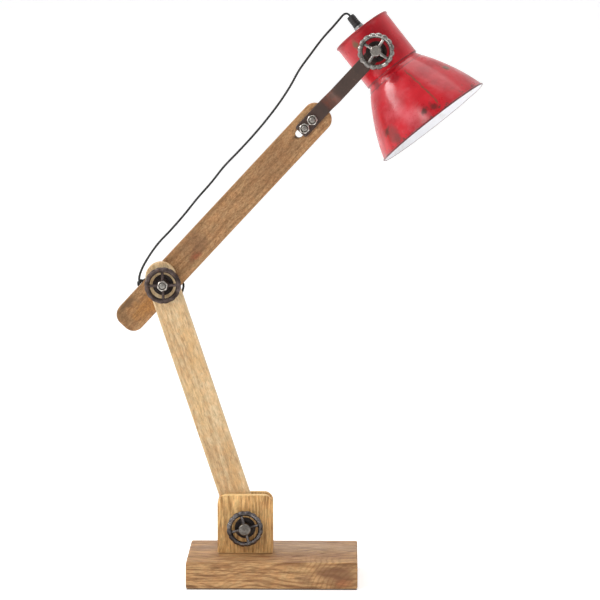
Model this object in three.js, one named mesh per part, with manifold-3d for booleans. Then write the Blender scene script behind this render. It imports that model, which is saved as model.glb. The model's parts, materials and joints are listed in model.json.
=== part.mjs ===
// An architect's desk lamp: a wooden block base with two cheeks, two flat wooden arms clamped by
// handwheels, and a painted steel bell shade carried on a bent flat-iron strap.
//
// Millimetres, +Z up, +X towards the shade, -Y towards the viewer (the handwheels' side).
// The origin is the middle of the base's underside. Angles are in degrees.

import * as THREE from "three";
import { mergeVertices } from "three/addons/utils/BufferGeometryUtils.js";
import Module from "manifold-3d";

const wasm = await Module();
wasm.setup();

// ---------------------------------------------------------------- driving dimensions

const GAP = 0.3; // clearance between two pieces that touch

const BASE = { length: 268, depth: 188, top: 43.5, cornerRadius: 3, easing: 1.6 };
const PAD = { thickness: 1.5, inset: 1 };
const CHEEK = { width: 87.6, height: 94, thickness: 11.6, centreX: -43.5 };
const CHEEK_CORNERS = { top: 15, foot: 2 };
const CHEEK_SCREW = { spacing: 50, length: 68, shankRadius: 2.4, headRadius: 4.8, sink: 9 };
const WOOD_EASING = 1.2; // rounding of the sawn edges of cheeks and arms

const BASE_PIVOT_HEIGHT = 85;
const LOWER_ARM = { pivots: 405, lean: 18.5, width: 48, thickness: 16, overhang: 12.5 };
const UPPER_ARM = { pitch: 47, width: 48, thickness: 16, tail: 93, reach: 375, cornerRadius: 18 };
const UPPER_ARM_LINE = 2; // the upper arm's centreline lies this far above its pivot hole

const BOLT_RADIUS = 4.5;
const BOLT_HOLE_RADIUS = 5;
const HEX_ACROSS_FLATS = 14.6;
const HEX_HEIGHT = 6.2;
const WASHER = { radius: 16.4, thickness: 1.6 };
const REAR_WASHER = { radius: 12, thickness: 1.6 };

const WHEEL = {
  rimRadius: 24.8, // centre of the rim's round section
  rimSection: 4.1,
  scallops: 16,
  scallopDepth: 1.3,
  hubRadius: 8.2,
  hubBackRadius: 10.5,
  hubLength: 14,
  rimPlane: 9, // from the hub's back face to the middle of the rim
  spokeWidth: 4.8,
  spokeDepth: 4.2,
};
const SPOKE_ANGLES = { base: 15, elbow: 2, head: 58 }; // one spoke's angle above level
const CAP_NUT = { radius: 9.8, height: 8, threadDepth: 5.5 };

const STRAP = { width: 23, thickness: 3, line: 5, start: 321, boltPitch: 18, firstBolt: 330.3 };
const STRAP_JOGGLE = { start: 378, end: 403 };
const STRAP_END = 15; // the strap's rounded end, beyond the head pivot
const ARM_SLOT = { halfWidth: 6, start: 317.9, end: 354 };

const HEAD_PIVOT_REACH = 495.2; // elbow pivot to head pivot, along the arm
const HEAD_PIVOT_Y = -22.3; // middle of the strap's upper leg
const HEAD_TWIST = -7; // the strap's upper leg is twisted this much about its own length
const HEAD_TILT = 38.4; // the shade's axis, from hanging straight down
const SADDLE_THICKNESS = 3;

const CAP = { radius: 47.6, lipRadius: 49.2, length: 79.2, wall: 1.2, abovePivot: 46.5 };
const SHADE = { neckRadius: 46, mouthRadius: 96.3, rimRadius: 98.4, wall: 1.1 };
const SHADE_REACH = { collarTop: 67.2, neckEnd: 82.2, mouth: 185 }; // below the cap's top
const HOLDER = { radius: 19.5, bore: 13.9, top: 9, length: 46, flangeRadius: 22 };
const BULB = {
  capRadius: 13.2,
  capTop: 28,
  glassTop: 56,
  glassRadius: 29,
  glassEnd: 137,
  wall: 1.2,
};
const GLAND = { radius: 7, length: 20, collarRadius: 8.8, collarHeight: 7.6 };
const NIPPLE_RADIUS = 4.8;

const CORD_DIAMETER = 3.5;
const CORD_SIDES = 8;
const CLIP = { width: 11, length: 7, wall: 1.5 };
const ELBOW_CLIP = { along: -25.3, y: 21.6, width: 13 }; // on the upper arm's upper narrow side
const ARM_CLIPS = [62, 178, 295]; // from the elbow, down the lower arm's back
const BASE_CLIP = { x: -66, y: 78 };
const COIL = { x: 92, y: 146, midRadius: 20, width: 17.8, height: 7.4 };
const TIE = { thickness: 1, width: 6 };
const SWITCH = { x: 2, y: 128, length: 62, width: 27, height: 15 };
const ROCKER = { length: 17, width: 11, depth: 2.6, rise: 1.7, pivotDrop: 1.2, tilt: 7 };
const PLUG = { face: -56, y: 176, length: 36, width: 35, height: 13.6, relief: 20 };
const PIN = { radius: 2, length: 19, spacing: 18.6 };

const COLOURS = {
  baseWood: 0xb98b5c,
  cheekWood: 0xc89c62,
  lowerArmWood: 0xd9b381,
  upperArmWood: 0xa87b4e,
  gunmetal: 0x5a5658,
  pewter: 0x8f8b86,
  steel: 0xa9a6a0,
  rustedIron: 0x493029,
  redPaint: 0xc22b38,
  blackPlastic: 0x1c1b1c,
  blackCord: 0x141414,
  felt: 0x2a2724,
  rocker: 0x2b2a2b,
  frostedGlass: 0xf3f1ea,
  brass: 0xb9975a,
};

// ---------------------------------------------------------------- worked-out dimensions

const radians = THREE.MathUtils.degToRad;

const elbow = new THREE.Vector3(
  CHEEK.centreX - LOWER_ARM.pivots * Math.sin(radians(LOWER_ARM.lean)),
  0,
  BASE_PIVOT_HEIGHT + LOWER_ARM.pivots * Math.cos(radians(LOWER_ARM.lean)),
);
const cheekFace = LOWER_ARM.thickness / 2 + GAP; // inner face of each cheek, from the middle plane
const cheekOuter = cheekFace + CHEEK.thickness;
const upperArmFront = LOWER_ARM.thickness / 2 + GAP + WASHER.thickness + GAP;
const upperArmBack = upperArmFront + UPPER_ARM.thickness;
const strapLowY = upperArmFront - GAP - STRAP.thickness / 2;
const cordLift = GAP + CORD_DIAMETER / 2; // the cord's middle above a surface it lies on
const headAxisY = STRAP.thickness / 2 + GAP + SADDLE_THICKNESS + GAP + CAP.radius;

// ---------------------------------------------------------------- solids and booleans

function toSolid(geometry) {
  const bare = geometry.index ? geometry.toNonIndexed() : geometry.clone();
  bare.deleteAttribute("normal");
  bare.deleteAttribute("uv");
  const merged = mergeVertices(bare, 1e-4);
  return new wasm.Manifold(
    new wasm.Mesh({
      numProp: 3,
      vertProperties: new Float32Array(merged.attributes.position.array),
      triVerts: new Uint32Array(merged.index.array),
    }),
  );
}

function toGeometry(solid) {
  const mesh = solid.getMesh();
  const geometry = new THREE.BufferGeometry();
  geometry.setAttribute("position", new THREE.BufferAttribute(mesh.vertProperties, 3));
  geometry.setIndex(new THREE.BufferAttribute(mesh.triVerts, 1));
  geometry.computeVertexNormals();
  return geometry;
}

function cut(geometry, ...tools) {
  const solid = tools.reduce((body, tool) => body.subtract(toSolid(tool)), toSolid(geometry));
  return toGeometry(solid);
}

function join(geometry, ...others) {
  const solid = others.reduce((body, other) => body.add(toSolid(other)), toSolid(geometry));
  return toGeometry(solid);
}

// A round bar along Y, from y = from to y = to.
function barAlongY(radius, from, to, sides = 16, endRadius = radius) {
  const bar = new THREE.CylinderGeometry(endRadius, radius, to - from, sides);
  return bar.translate(0, (from + to) / 2, 0);
}

// A round bar along Z.
function barAlongZ(radius, from, to, sides = 16) {
  return barAlongY(radius, from, to, sides).rotateX(Math.PI / 2);
}

// A hexagonal prism along Y with its outer corners chamfered.
function hexAlongY(from, to, acrossFlats = HEX_ACROSS_FLATS) {
  const cornerRadius = acrossFlats / Math.sqrt(3);
  const chamfer = 1;
  const prism = barAlongY(cornerRadius, from, to, 6);
  const cone = turnedAboutY(
    [
      [0, from],
      [cornerRadius + chamfer, from],
      [cornerRadius + chamfer, to - chamfer],
      [cornerRadius - chamfer, to + chamfer / 2],
      [0, to + chamfer / 2],
    ],
    18,
  );
  return toGeometry(toSolid(prism).intersect(toSolid(cone)));
}

function ringAlongY(radius, hole, from, to, sides = 24) {
  return cut(barAlongY(radius, from, to, sides), barAlongY(hole, from - 1, to + 1, 14));
}

// A body of revolution about Y, from [radius, y] points listed either way round the section.
function turnedAboutY(points, segments) {
  const profile = points.map(([radius, y]) => new THREE.Vector2(radius, y));
  if (THREE.ShapeUtils.area(profile) < 0) profile.reverse();
  return new THREE.LatheGeometry(profile, segments);
}

// A body of revolution about Z, from [radius, z] points.
function turnedAboutZ(points, segments) {
  return turnedAboutY(points, segments).rotateX(Math.PI / 2);
}

// A flat board in the XZ plane, from y = from to y = to, with eased edges.
function board(outline, from, to, easing) {
  const depth = to - from - 2 * easing;
  const geometry = new THREE.ExtrudeGeometry(outline, {
    depth,
    bevelEnabled: true,
    bevelThickness: easing,
    bevelSize: easing,
    bevelOffset: -easing,
    bevelSegments: 1,
    curveSegments: 5,
  });
  return geometry.rotateX(Math.PI / 2).translate(0, to - easing, 0);
}

function roundedRectangle(left, right, bottom, top, radii) {
  const [lowerLeft, lowerRight, upperRight, upperLeft] = radii;
  const shape = new THREE.Shape();
  shape.absarc(right - lowerRight, bottom + lowerRight, lowerRight, -Math.PI / 2, 0);
  shape.absarc(right - upperRight, top - upperRight, upperRight, 0, Math.PI / 2);
  shape.absarc(left + upperLeft, top - upperLeft, upperLeft, Math.PI / 2, Math.PI);
  shape.absarc(left + lowerLeft, bottom + lowerLeft, lowerLeft, Math.PI, 1.5 * Math.PI);
  return shape;
}

function equalCorners(radius) {
  return [radius, radius, radius, radius];
}

// ---------------------------------------------------------------- the scene graph

const lamp = new THREE.Group();

function material(colour, roughness, metalness = 0) {
  return new THREE.MeshStandardMaterial({ color: colour, roughness, metalness });
}

function piece(parent, name, geometry, colour, roughness, metalness) {
  const mesh = new THREE.Mesh(geometry, material(colour, roughness, metalness));
  mesh.name = name;
  parent.add(mesh);
  return mesh;
}

// A group turned anticlockwise, as seen from the front.
function turnedGroup(parent, position, angle) {
  const group = new THREE.Group();
  group.position.copy(position);
  group.rotation.y = -radians(angle);
  parent.add(group);
  return group;
}

const basePivot = turnedGroup(lamp, new THREE.Vector3(CHEEK.centreX, 0, BASE_PIVOT_HEIGHT), 0);
const lowerArmFrame = turnedGroup(lamp, basePivot.position, 90 + LOWER_ARM.lean);
const upperArmFrame = turnedGroup(lamp, elbow, UPPER_ARM.pitch);
const strapEndFrame = new THREE.Group(); // on the head pivot, in the twisted leg's middle plane
strapEndFrame.position.set(HEAD_PIVOT_REACH, HEAD_PIVOT_Y, STRAP.line);
strapEndFrame.rotation.x = radians(HEAD_TWIST);
upperArmFrame.add(strapEndFrame);
const headFrame = turnedGroup(strapEndFrame, new THREE.Vector3(), HEAD_TILT - UPPER_ARM.pitch);

// ---------------------------------------------------------------- base

function addBase() {
  const { length, depth, top, cornerRadius, easing } = BASE;
  const inset = 2 * PAD.inset;
  const pad = new THREE.BoxGeometry(length - inset, depth - inset, PAD.thickness);
  pad.translate(0, 0, PAD.thickness / 2);
  piece(lamp, "base_felt_pad", pad, COLOURS.felt, 1);

  const underside = PAD.thickness + GAP;
  const corners = equalCorners(cornerRadius);
  const outline = roundedRectangle(-length / 2, length / 2, underside, top, corners);
  const block = board(outline, -depth / 2, depth / 2, easing);
  const holes = screwPlaces().flatMap(([x, y]) => [
    barAlongZ(CHEEK_SCREW.shankRadius + GAP, underside - 1, top + 1, 12).translate(x, y, 0),
    barAlongZ(CHEEK_SCREW.headRadius + GAP, underside - 1, underside + CHEEK_SCREW.sink, 16)
      .translate(x, y, 0),
  ]);
  piece(lamp, "base_block", cut(block, ...holes), COLOURS.baseWood, 0.62);
}

function screwPlaces() {
  const middle = (cheekFace + cheekOuter) / 2;
  const along = [-1, 1].map((side) => CHEEK.centreX + (side * CHEEK_SCREW.spacing) / 2);
  return [-middle, middle].flatMap((y) => along.map((x) => [x, y]));
}

function addCheeks() {
  const half = CHEEK.width / 2;
  const foot = BASE.top + GAP;
  const corners = [CHEEK_CORNERS.foot, CHEEK_CORNERS.foot, CHEEK_CORNERS.top, CHEEK_CORNERS.top];
  const left = CHEEK.centreX - half;
  const right = CHEEK.centreX + half;
  const outline = roundedRectangle(left, right, foot, BASE.top + CHEEK.height, corners);
  const screwTop = PAD.thickness + GAP + CHEEK_SCREW.sink + CHEEK_SCREW.length;
  const screwHoles = screwPlaces().map(([x, y]) =>
    barAlongZ(CHEEK_SCREW.shankRadius + GAP, foot - 1, screwTop + 1, 12).translate(x, y, 0),
  );
  const boltHole = barAlongY(BOLT_HOLE_RADIUS, -cheekOuter - 1, cheekOuter + 1);
  boltHole.translate(CHEEK.centreX, 0, BASE_PIVOT_HEIGHT);
  const front = board(outline, -cheekOuter, -cheekFace, WOOD_EASING);
  const rear = board(outline, cheekFace, cheekOuter, WOOD_EASING);
  piece(lamp, "cheek_front", cut(front, boltHole, ...screwHoles), COLOURS.cheekWood, 0.6);
  piece(lamp, "cheek_rear", cut(rear, boltHole, ...screwHoles), COLOURS.cheekWood, 0.6);

  screwPlaces().forEach(([x, y], index) => {
    const { shankRadius, headRadius, length, sink } = CHEEK_SCREW;
    const seat = PAD.thickness + GAP + sink - GAP; // the counterbore's end, less the clearance
    const screw = turnedAboutZ(
      [
        [0, seat - 4],
        [headRadius, seat - 4],
        [headRadius, seat - 3],
        [shankRadius, seat],
        [shankRadius, seat + length - 6],
        [0, seat + length],
      ],
      12,
    );
    screw.translate(x, y, 0);
    piece(lamp, `cheek_screw_${index + 1}`, screw, COLOURS.steel, 0.4, 1);
  });
}

// ---------------------------------------------------------------- arms

function addLowerArm() {
  const { pivots, width, thickness, overhang } = LOWER_ARM;
  const half = width / 2;
  const outline = new THREE.Shape();
  outline.absarc(-overhang, 0, half, Math.PI / 2, 1.5 * Math.PI);
  outline.absarc(pivots + overhang, 0, half, -Math.PI / 2, Math.PI / 2);
  const blank = board(outline, -thickness / 2, thickness / 2, WOOD_EASING);
  const hole = barAlongY(BOLT_HOLE_RADIUS, -thickness, thickness);
  const farHole = hole.clone().translate(pivots, 0, 0);
  piece(lowerArmFrame, "lower_arm", cut(blank, hole, farHole), COLOURS.lowerArmWood, 0.62);
}

function addUpperArm() {
  const { width, tail, reach, cornerRadius } = UPPER_ARM;
  const bottom = UPPER_ARM_LINE - width / 2;
  const outline = roundedRectangle(-tail, reach, bottom, bottom + width, equalCorners(cornerRadius));
  const blank = board(outline, upperArmFront, upperArmBack, WOOD_EASING);
  const hole = barAlongY(BOLT_HOLE_RADIUS, upperArmFront - 1, upperArmBack + 1);
  const slotEnds = [ARM_SLOT.start, ARM_SLOT.end].map((x) =>
    barAlongY(ARM_SLOT.halfWidth, upperArmFront - 1, upperArmBack + 1).translate(x, 0, STRAP.line),
  );
  const slotLength = ARM_SLOT.end - ARM_SLOT.start;
  const slot = new THREE.BoxGeometry(slotLength, UPPER_ARM.thickness + 2, 2 * ARM_SLOT.halfWidth);
  slot.translate(
    (ARM_SLOT.start + ARM_SLOT.end) / 2,
    (upperArmFront + upperArmBack) / 2,
    STRAP.line,
  );
  const arm = cut(blank, hole, slot, ...slotEnds);
  piece(upperArmFrame, "upper_arm", arm, COLOURS.upperArmWood, 0.6);
}

// ---------------------------------------------------------------- strap

const smooth = (t) => t * t * (3 - 2 * t);

// How far the strap has come through its joggle, from 0 on the arm to 1 on the head.
function joggleShare(along) {
  const { start, end } = STRAP_JOGGLE;
  return smooth(THREE.MathUtils.clamp((along - start) / (end - start), 0, 1));
}

function strapMiddle(along) {
  return THREE.MathUtils.lerp(strapLowY, HEAD_PIVOT_Y, joggleShare(along));
}

// The strap narrows to a round at its far end and to eased corners at its near end.
function strapHalfWidth(along) {
  const half = STRAP.width / 2;
  const roundFrom = HEAD_PIVOT_REACH + STRAP_END - half;
  const past = along - roundFrom;
  return past > 0 ? Math.sqrt(Math.max(half * half - past * past, 4)) : half;
}

function strapStations() {
  const end = HEAD_PIVOT_REACH + STRAP_END;
  const half = STRAP.width / 2;
  const joggle = STRAP_JOGGLE.end - STRAP_JOGGLE.start;
  const bend = Array.from({ length: 11 }, (_, i) => STRAP_JOGGLE.start + (joggle * i) / 10);
  const round = Array.from({ length: 7 }, (_, i) => end - half * Math.cos((i * Math.PI) / 12));
  return [STRAP.start, ...bend, ...round];
}

function strapBar() {
  const positions = [];
  const faces = [];
  const stations = strapStations();
  stations.forEach((along) => {
    const step = 0.05;
    const slope = (strapMiddle(along + step) - strapMiddle(along - step)) / (2 * step);
    const tangent = new THREE.Vector3(1, slope, 0).normalize();
    const twist = radians(HEAD_TWIST) * joggleShare(along);
    const across = new THREE.Vector3(0, -Math.sin(twist), Math.cos(twist));
    const normal = new THREE.Vector3().crossVectors(across, tangent).normalize();
    const side = new THREE.Vector3().crossVectors(tangent, normal);
    const middle = new THREE.Vector3(along, strapMiddle(along), STRAP.line);
    const corners = [
      [-1, -1],
      [1, -1],
      [1, 1],
      [-1, 1],
    ];
    corners.forEach(([thicknessSide, widthSide]) => {
      const corner = middle.clone();
      corner.addScaledVector(normal, (thicknessSide * STRAP.thickness) / 2);
      corner.addScaledVector(side, widthSide * strapHalfWidth(along));
      positions.push(...corner);
    });
  });
  const rings = stations.length;
  for (let ring = 0; ring < rings - 1; ring += 1) {
    for (let corner = 0; corner < 4; corner += 1) {
      const a = 4 * ring + corner;
      const b = 4 * ring + ((corner + 1) % 4);
      faces.push(a, b, b + 4, a, b + 4, a + 4);
    }
  }
  const last = 4 * (rings - 1);
  faces.push(0, 2, 1, 0, 3, 2, last, last + 1, last + 2, last, last + 2, last + 3);
  const geometry = new THREE.BufferGeometry();
  geometry.setAttribute("position", new THREE.Float32BufferAttribute(positions, 3));
  geometry.setIndex(faces);
  return geometry;
}

const strapBoltPlaces = [STRAP.firstBolt, STRAP.firstBolt + STRAP.boltPitch];

function addStrap() {
  const armHoles = strapBoltPlaces.map((along) =>
    barAlongY(BOLT_HOLE_RADIUS, strapLowY - 4, strapLowY + 4).translate(along, 0, STRAP.line),
  );
  const headHole = barAlongY(BOLT_HOLE_RADIUS, -4, 4).rotateX(radians(HEAD_TWIST));
  headHole.translate(HEAD_PIVOT_REACH, HEAD_PIVOT_Y, STRAP.line);
  const strap = cut(strapBar(), ...armHoles, headHole);
  piece(upperArmFrame, "head_strap", strap, COLOURS.rustedIron, 0.55, 0.7);

  const strapFront = strapLowY - STRAP.thickness / 2;
  strapBoltPlaces.forEach((along, index) => {
    const number = index + 1;
    const nutBack = strapFront - GAP;
    const nut = hexAlongY(0, HEX_HEIGHT).rotateX(Math.PI).translate(0, nutBack, 0);
    const nutHole = barAlongY(BOLT_RADIUS + GAP, nutBack - HEX_HEIGHT - 1, nutBack + 1, 16);
    const shankEnd = nutBack - HEX_HEIGHT - 1.2;
    const headFront = upperArmBack + GAP;
    const shank = barAlongY(BOLT_RADIUS, shankEnd, headFront + 1, 16);
    const bolt = join(hexAlongY(headFront, headFront + HEX_HEIGHT), shank);
    const parts = [
      [`strap_nut_${number}`, cut(nut, nutHole)],
      [`strap_bolt_${number}`, bolt],
    ];
    parts.forEach(([name, geometry]) => {
      geometry.translate(along, 0, STRAP.line);
      piece(upperArmFrame, name, geometry, COLOURS.steel, 0.38, 1);
    });
  });
}

// ---------------------------------------------------------------- handwheels and pivot bolts

// The rim is a round-section ring whose outside is scalloped for grip.
function wheelRim() {
  const { rimRadius, rimSection, scallops, scallopDepth, rimPlane } = WHEEL;
  const sides = 8;
  const stepsPerScallop = 3;
  const section = Array.from({ length: sides + 1 }, (_, i) => {
    const angle = (2 * Math.PI * i) / sides;
    const radius = rimRadius + rimSection * Math.cos(angle);
    return new THREE.Vector2(radius, rimSection * Math.sin(angle));
  });
  const ring = new THREE.LatheGeometry(section, scallops * stepsPerScallop);
  const position = ring.attributes.position;
  for (let i = 0; i < position.count; i += 1) {
    const x = position.getX(i);
    const z = position.getZ(i);
    const radius = Math.hypot(x, z);
    const wave = (1 - Math.cos(scallops * Math.atan2(z, x))) / 2;
    const outside = Math.max(0, (radius - rimRadius) / rimSection);
    const scale = 1 - (scallopDepth * wave * outside) / radius;
    position.setX(i, x * scale);
    position.setZ(i, z * scale);
  }
  return ring.translate(0, -rimPlane, 0);
}

// One handwheel with its back face at y = 0 and its front towards -Y.
function handwheel(spokeAngle) {
  const { rimRadius, hubRadius, hubBackRadius, hubLength, rimPlane, spokeWidth, spokeDepth } = WHEEL;
  const hub = barAlongY(hubRadius, -hubLength, 0, 16, hubBackRadius);
  const spokes = [0, 1, 2, 3].map((quarter) => {
    const spoke = new THREE.BoxGeometry(rimRadius, spokeDepth, spokeWidth);
    spoke.translate(rimRadius / 2, -rimPlane, 0);
    return spoke.rotateY(-radians(spokeAngle + 90 * quarter));
  });
  const bore = barAlongY(BOLT_HOLE_RADIUS, -hubLength - 1, 1);
  return cut(join(hub, wheelRim(), ...spokes), bore);
}

function washerAt(parent, name, back) {
  const front = back - WASHER.thickness;
  const ring = ringAlongY(WASHER.radius, BOLT_HOLE_RADIUS, front, back);
  piece(parent, name, ring, COLOURS.gunmetal, 0.5, 1);
  return front - GAP;
}

function rearWasherAt(parent, name, face) {
  const from = face + GAP;
  const to = from + REAR_WASHER.thickness;
  const ring = ringAlongY(REAR_WASHER.radius, BOLT_HOLE_RADIUS, from, to, 20);
  piece(parent, name, ring, COLOURS.steel, 0.4, 1);
  return to + GAP;
}

function addBasePivot() {
  const wheelBack = washerAt(basePivot, "base_front_washer", -cheekOuter - GAP);
  const wheel = handwheel(SPOKE_ANGLES.base).translate(0, wheelBack, 0);
  piece(basePivot, "base_handwheel", wheel, COLOURS.gunmetal, 0.42, 1);

  const capBack = wheelBack - WHEEL.hubLength - GAP;
  const { radius, height, threadDepth } = CAP_NUT;
  const capNut = turnedAboutY(
    [
      [0, capBack],
      [radius, capBack],
      [radius, capBack - height / 2],
      [radius - 1, capBack - height + 2],
      [radius - 2.4, capBack - height + 0.6],
      [0, capBack - height],
    ],
    10,
  );
  const thread = barAlongY(BOLT_HOLE_RADIUS, capBack - threadDepth, capBack + 1, 16);
  piece(basePivot, "base_wheel_cap_nut", cut(capNut, thread), COLOURS.pewter, 0.5, 1);

  const headFront = rearWasherAt(basePivot, "base_rear_washer", cheekOuter);
  const shank = barAlongY(BOLT_RADIUS, capBack - threadDepth + 1, headFront + 1, 20);
  const bolt = join(hexAlongY(headFront, headFront + HEX_HEIGHT), shank);
  piece(basePivot, "base_bolt", bolt, COLOURS.steel, 0.4, 1);
}

function addElbow() {
  const armFront = -LOWER_ARM.thickness / 2;
  const wheelBack = washerAt(upperArmFrame, "elbow_front_washer", armFront - GAP);
  washerAt(upperArmFrame, "elbow_spacer_washer", upperArmFront - GAP);
  const wheel = handwheel(SPOKE_ANGLES.elbow - UPPER_ARM.pitch).translate(0, wheelBack, 0);
  piece(upperArmFrame, "elbow_handwheel", wheel, COLOURS.gunmetal, 0.55, 1);

  const nutBack = wheelBack - WHEEL.hubLength - GAP;
  const nut = hexAlongY(0, HEX_HEIGHT).rotateX(Math.PI).translate(0, nutBack, 0);
  const nutHole = barAlongY(BOLT_RADIUS + GAP, nutBack - HEX_HEIGHT - 1, nutBack + 1, 16);
  piece(upperArmFrame, "elbow_wheel_nut", cut(nut, nutHole), COLOURS.pewter, 0.45, 1);

  const headFront = rearWasherAt(upperArmFrame, "elbow_rear_washer", upperArmBack);
  const shank = barAlongY(BOLT_RADIUS, nutBack - HEX_HEIGHT - 1.5, headFront + 1, 20);
  const bolt = join(hexAlongY(headFront, headFront + HEX_HEIGHT), shank);
  piece(upperArmFrame, "elbow_bolt", bolt, COLOURS.steel, 0.4, 1);
}

// ---------------------------------------------------------------- head

// Heights in the head's frame run down its axis from the cap's top, which is capTop above the pivot.
const capTop = CAP.abovePivot;

function below(distance) {
  return capTop - distance;
}

function headPiece(name, geometry, colour, roughness, metalness) {
  geometry.translate(0, headAxisY, 0);
  return piece(headFrame, name, geometry, colour, roughness, metalness);
}

function addHeadPivot() {
  const strapFront = -STRAP.thickness / 2;
  const wheelBack = washerAt(strapEndFrame, "head_front_washer", strapFront - GAP);
  const wheel = handwheel(SPOKE_ANGLES.head - UPPER_ARM.pitch).translate(0, wheelBack, 0);
  piece(strapEndFrame, "head_handwheel", wheel, COLOURS.pewter, 0.3, 1);

  const nutFront = headAxisY - CAP.radius + CAP.wall + 1;
  const nutBack = nutFront + HEX_HEIGHT;
  const boltHeadBack = wheelBack - WHEEL.hubLength - GAP;
  const hexHead = hexAlongY(0, HEX_HEIGHT).rotateX(Math.PI).translate(0, boltHeadBack, 0);
  const shank = barAlongY(BOLT_RADIUS, boltHeadBack - 1, nutBack + 2, 20);
  piece(strapEndFrame, "head_bolt", join(hexHead, shank), COLOURS.pewter, 0.35, 1);

  const nutHole = barAlongY(BOLT_RADIUS + GAP, nutFront - 1, nutBack + 1, 16);
  const nut = cut(hexAlongY(nutFront, nutBack), nutHole);
  piece(headFrame, "head_inner_nut", nut, COLOURS.steel, 0.4, 1);

  // The saddle seats the strap's flat face on the cap's round wall.
  const saddleFront = STRAP.thickness / 2 + GAP;
  const blank = barAlongY(11.5, saddleFront, headAxisY - CAP.radius + 3, 28);
  const wall = barAlongZ(CAP.radius + GAP, -30, 30, 72).translate(0, headAxisY, 0);
  const hole = barAlongY(BOLT_HOLE_RADIUS, 0, headAxisY);
  piece(headFrame, "head_saddle", cut(blank, wall, hole), COLOURS.rustedIron, 0.5, 0.8);
}

function addCap() {
  const { radius, lipRadius, length, wall } = CAP;
  const shell = turnedAboutZ(
    [
      [NIPPLE_RADIUS + GAP, below(0)],
      [NIPPLE_RADIUS + GAP, below(wall)],
      [radius - 3, below(wall)],
      [radius - wall, below(4)],
      [radius - wall, below(length)],
      [radius, below(length)],
      [radius, below(4.6)],
      [lipRadius, below(3.4)],
      [lipRadius, below(1)],
      [lipRadius - 1, below(0)],
      [NIPPLE_RADIUS + GAP, below(0)],
    ],
    36,
  );
  shell.translate(0, headAxisY, 0);
  const pivotHole = barAlongY(BOLT_HOLE_RADIUS, 0, headAxisY);
  piece(headFrame, "cap_shell", cut(shell, pivotHole), COLOURS.redPaint, 0.35, 0.1);
}

// The flare opens quickly at the neck and more slowly towards the mouth.
function flareRadius(share) {
  const quickness = 0.43;
  const spread = SHADE.mouthRadius - SHADE.neckRadius;
  return SHADE.neckRadius + spread * share * (1 + quickness - quickness * share);
}

function addShade() {
  const { neckRadius, mouthRadius, rimRadius, wall } = SHADE;
  const { collarTop, neckEnd, mouth } = SHADE_REACH;
  const rimStart = mouth - 3;
  const steps = 7;
  const flare = Array.from({ length: steps + 1 }, (_, i) => {
    const share = i / steps;
    return [flareRadius(share), below(neckEnd + (rimStart - neckEnd) * share)];
  });
  const outside = [[neckRadius, below(collarTop)], [neckRadius, below(neckEnd - 2)], ...flare];
  const rim = [
    [rimRadius, below(mouth - 2.6)],
    [rimRadius, below(mouth - 0.6)],
    [rimRadius - 0.8, below(mouth)],
    [mouthRadius - 0.6, below(mouth)],
  ];
  const inside = outside.map(([radius, height]) => [radius - wall, height - 0.5]).reverse();
  inside[inside.length - 1][1] += 0.5;
  const profile = [...outside, ...rim, ...inside, outside[0]];
  const shell = turnedAboutZ(profile, 36);
  headPiece("shade_shell", shell, COLOURS.redPaint, 0.35, 0.1);
}

function addLampHolder() {
  const { radius, bore, top, length, flangeRadius } = HOLDER;
  const bottom = top + length;
  const floor = 8;
  const body = turnedAboutZ(
    [
      [NIPPLE_RADIUS + GAP, below(top)],
      [radius * 0.55, below(top)],
      [radius, below(top + 12)],
      [radius, below(bottom - 10)],
      [flangeRadius, below(bottom - 8)],
      [flangeRadius, below(bottom - 5)],
      [radius - 1, below(bottom - 4)],
      [radius - 1, below(bottom)],
      [bore, below(bottom)],
      [bore, below(top + floor)],
      [NIPPLE_RADIUS + GAP, below(top + floor)],
      [NIPPLE_RADIUS + GAP, below(top)],
    ],
    24,
  );
  headPiece("lamp_holder", body, COLOURS.blackPlastic, 0.45);

  const nippleTop = -GLAND.collarHeight - 2 * GAP - 6;
  const nippleBottom = top + floor - 2;
  const nipple = cut(
    barAlongZ(NIPPLE_RADIUS, below(nippleBottom), below(nippleTop), 16),
    barAlongZ(2.6, below(nippleBottom) - 1, below(nippleTop) + 1, 12),
  );
  headPiece("holder_nipple", nipple, COLOURS.brass, 0.35, 1);

  const lockNut = cut(
    hexAlongY(0, 3.6, 14).rotateX(Math.PI / 2).translate(0, 0, below(CAP.wall + GAP + 3.6)),
    barAlongZ(NIPPLE_RADIUS + GAP, below(12), below(0), 16),
  );
  headPiece("holder_lock_nut", lockNut, COLOURS.brass, 0.35, 1);
}

function addBulb() {
  const { capRadius, capTop: bulbTop, glassTop } = BULB;
  const cap = turnedAboutZ(
    [
      [0, below(bulbTop)],
      [4.5, below(bulbTop)],
      [5, below(bulbTop + 2)],
      [capRadius - 1.5, below(bulbTop + 5)],
      [capRadius, below(bulbTop + 7)],
      [capRadius, below(glassTop - GAP)],
      [0, below(glassTop - GAP)],
    ],
    24,
  );
  headPiece("bulb_cap", cap, COLOURS.pewter, 0.3, 1);

  // The glass is a thin envelope, open where its neck meets the cap.
  const outside = glassProfile(0);
  const inside = glassProfile(BULB.wall).reverse();
  const envelope = turnedAboutZ([...outside, ...inside, outside[0]], 20);
  headPiece("bulb_glass", envelope, COLOURS.frostedGlass, 0.25);
}

// The bulb's outline from its neck to its round end, moved inwards by an inset.
function glassProfile(inset) {
  const { glassTop, glassRadius, glassEnd } = BULB;
  const roundSteps = 6;
  const firstAngle = -28; // where the neck runs into the ball, from the ball's equator
  const ball = glassEnd - glassRadius;
  const radius = glassRadius - inset;
  const round = Array.from({ length: roundSteps }, (_, i) => {
    const angle = radians(firstAngle + ((90 - firstAngle) * i) / roundSteps);
    return [radius * Math.cos(angle), below(ball + radius * Math.sin(angle))];
  });
  return [
    [12.6 - inset, below(glassTop)],
    [14.5 - inset, below(glassTop + 14)],
    ...round,
    [0, below(glassEnd - inset)],
  ];
}

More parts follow.
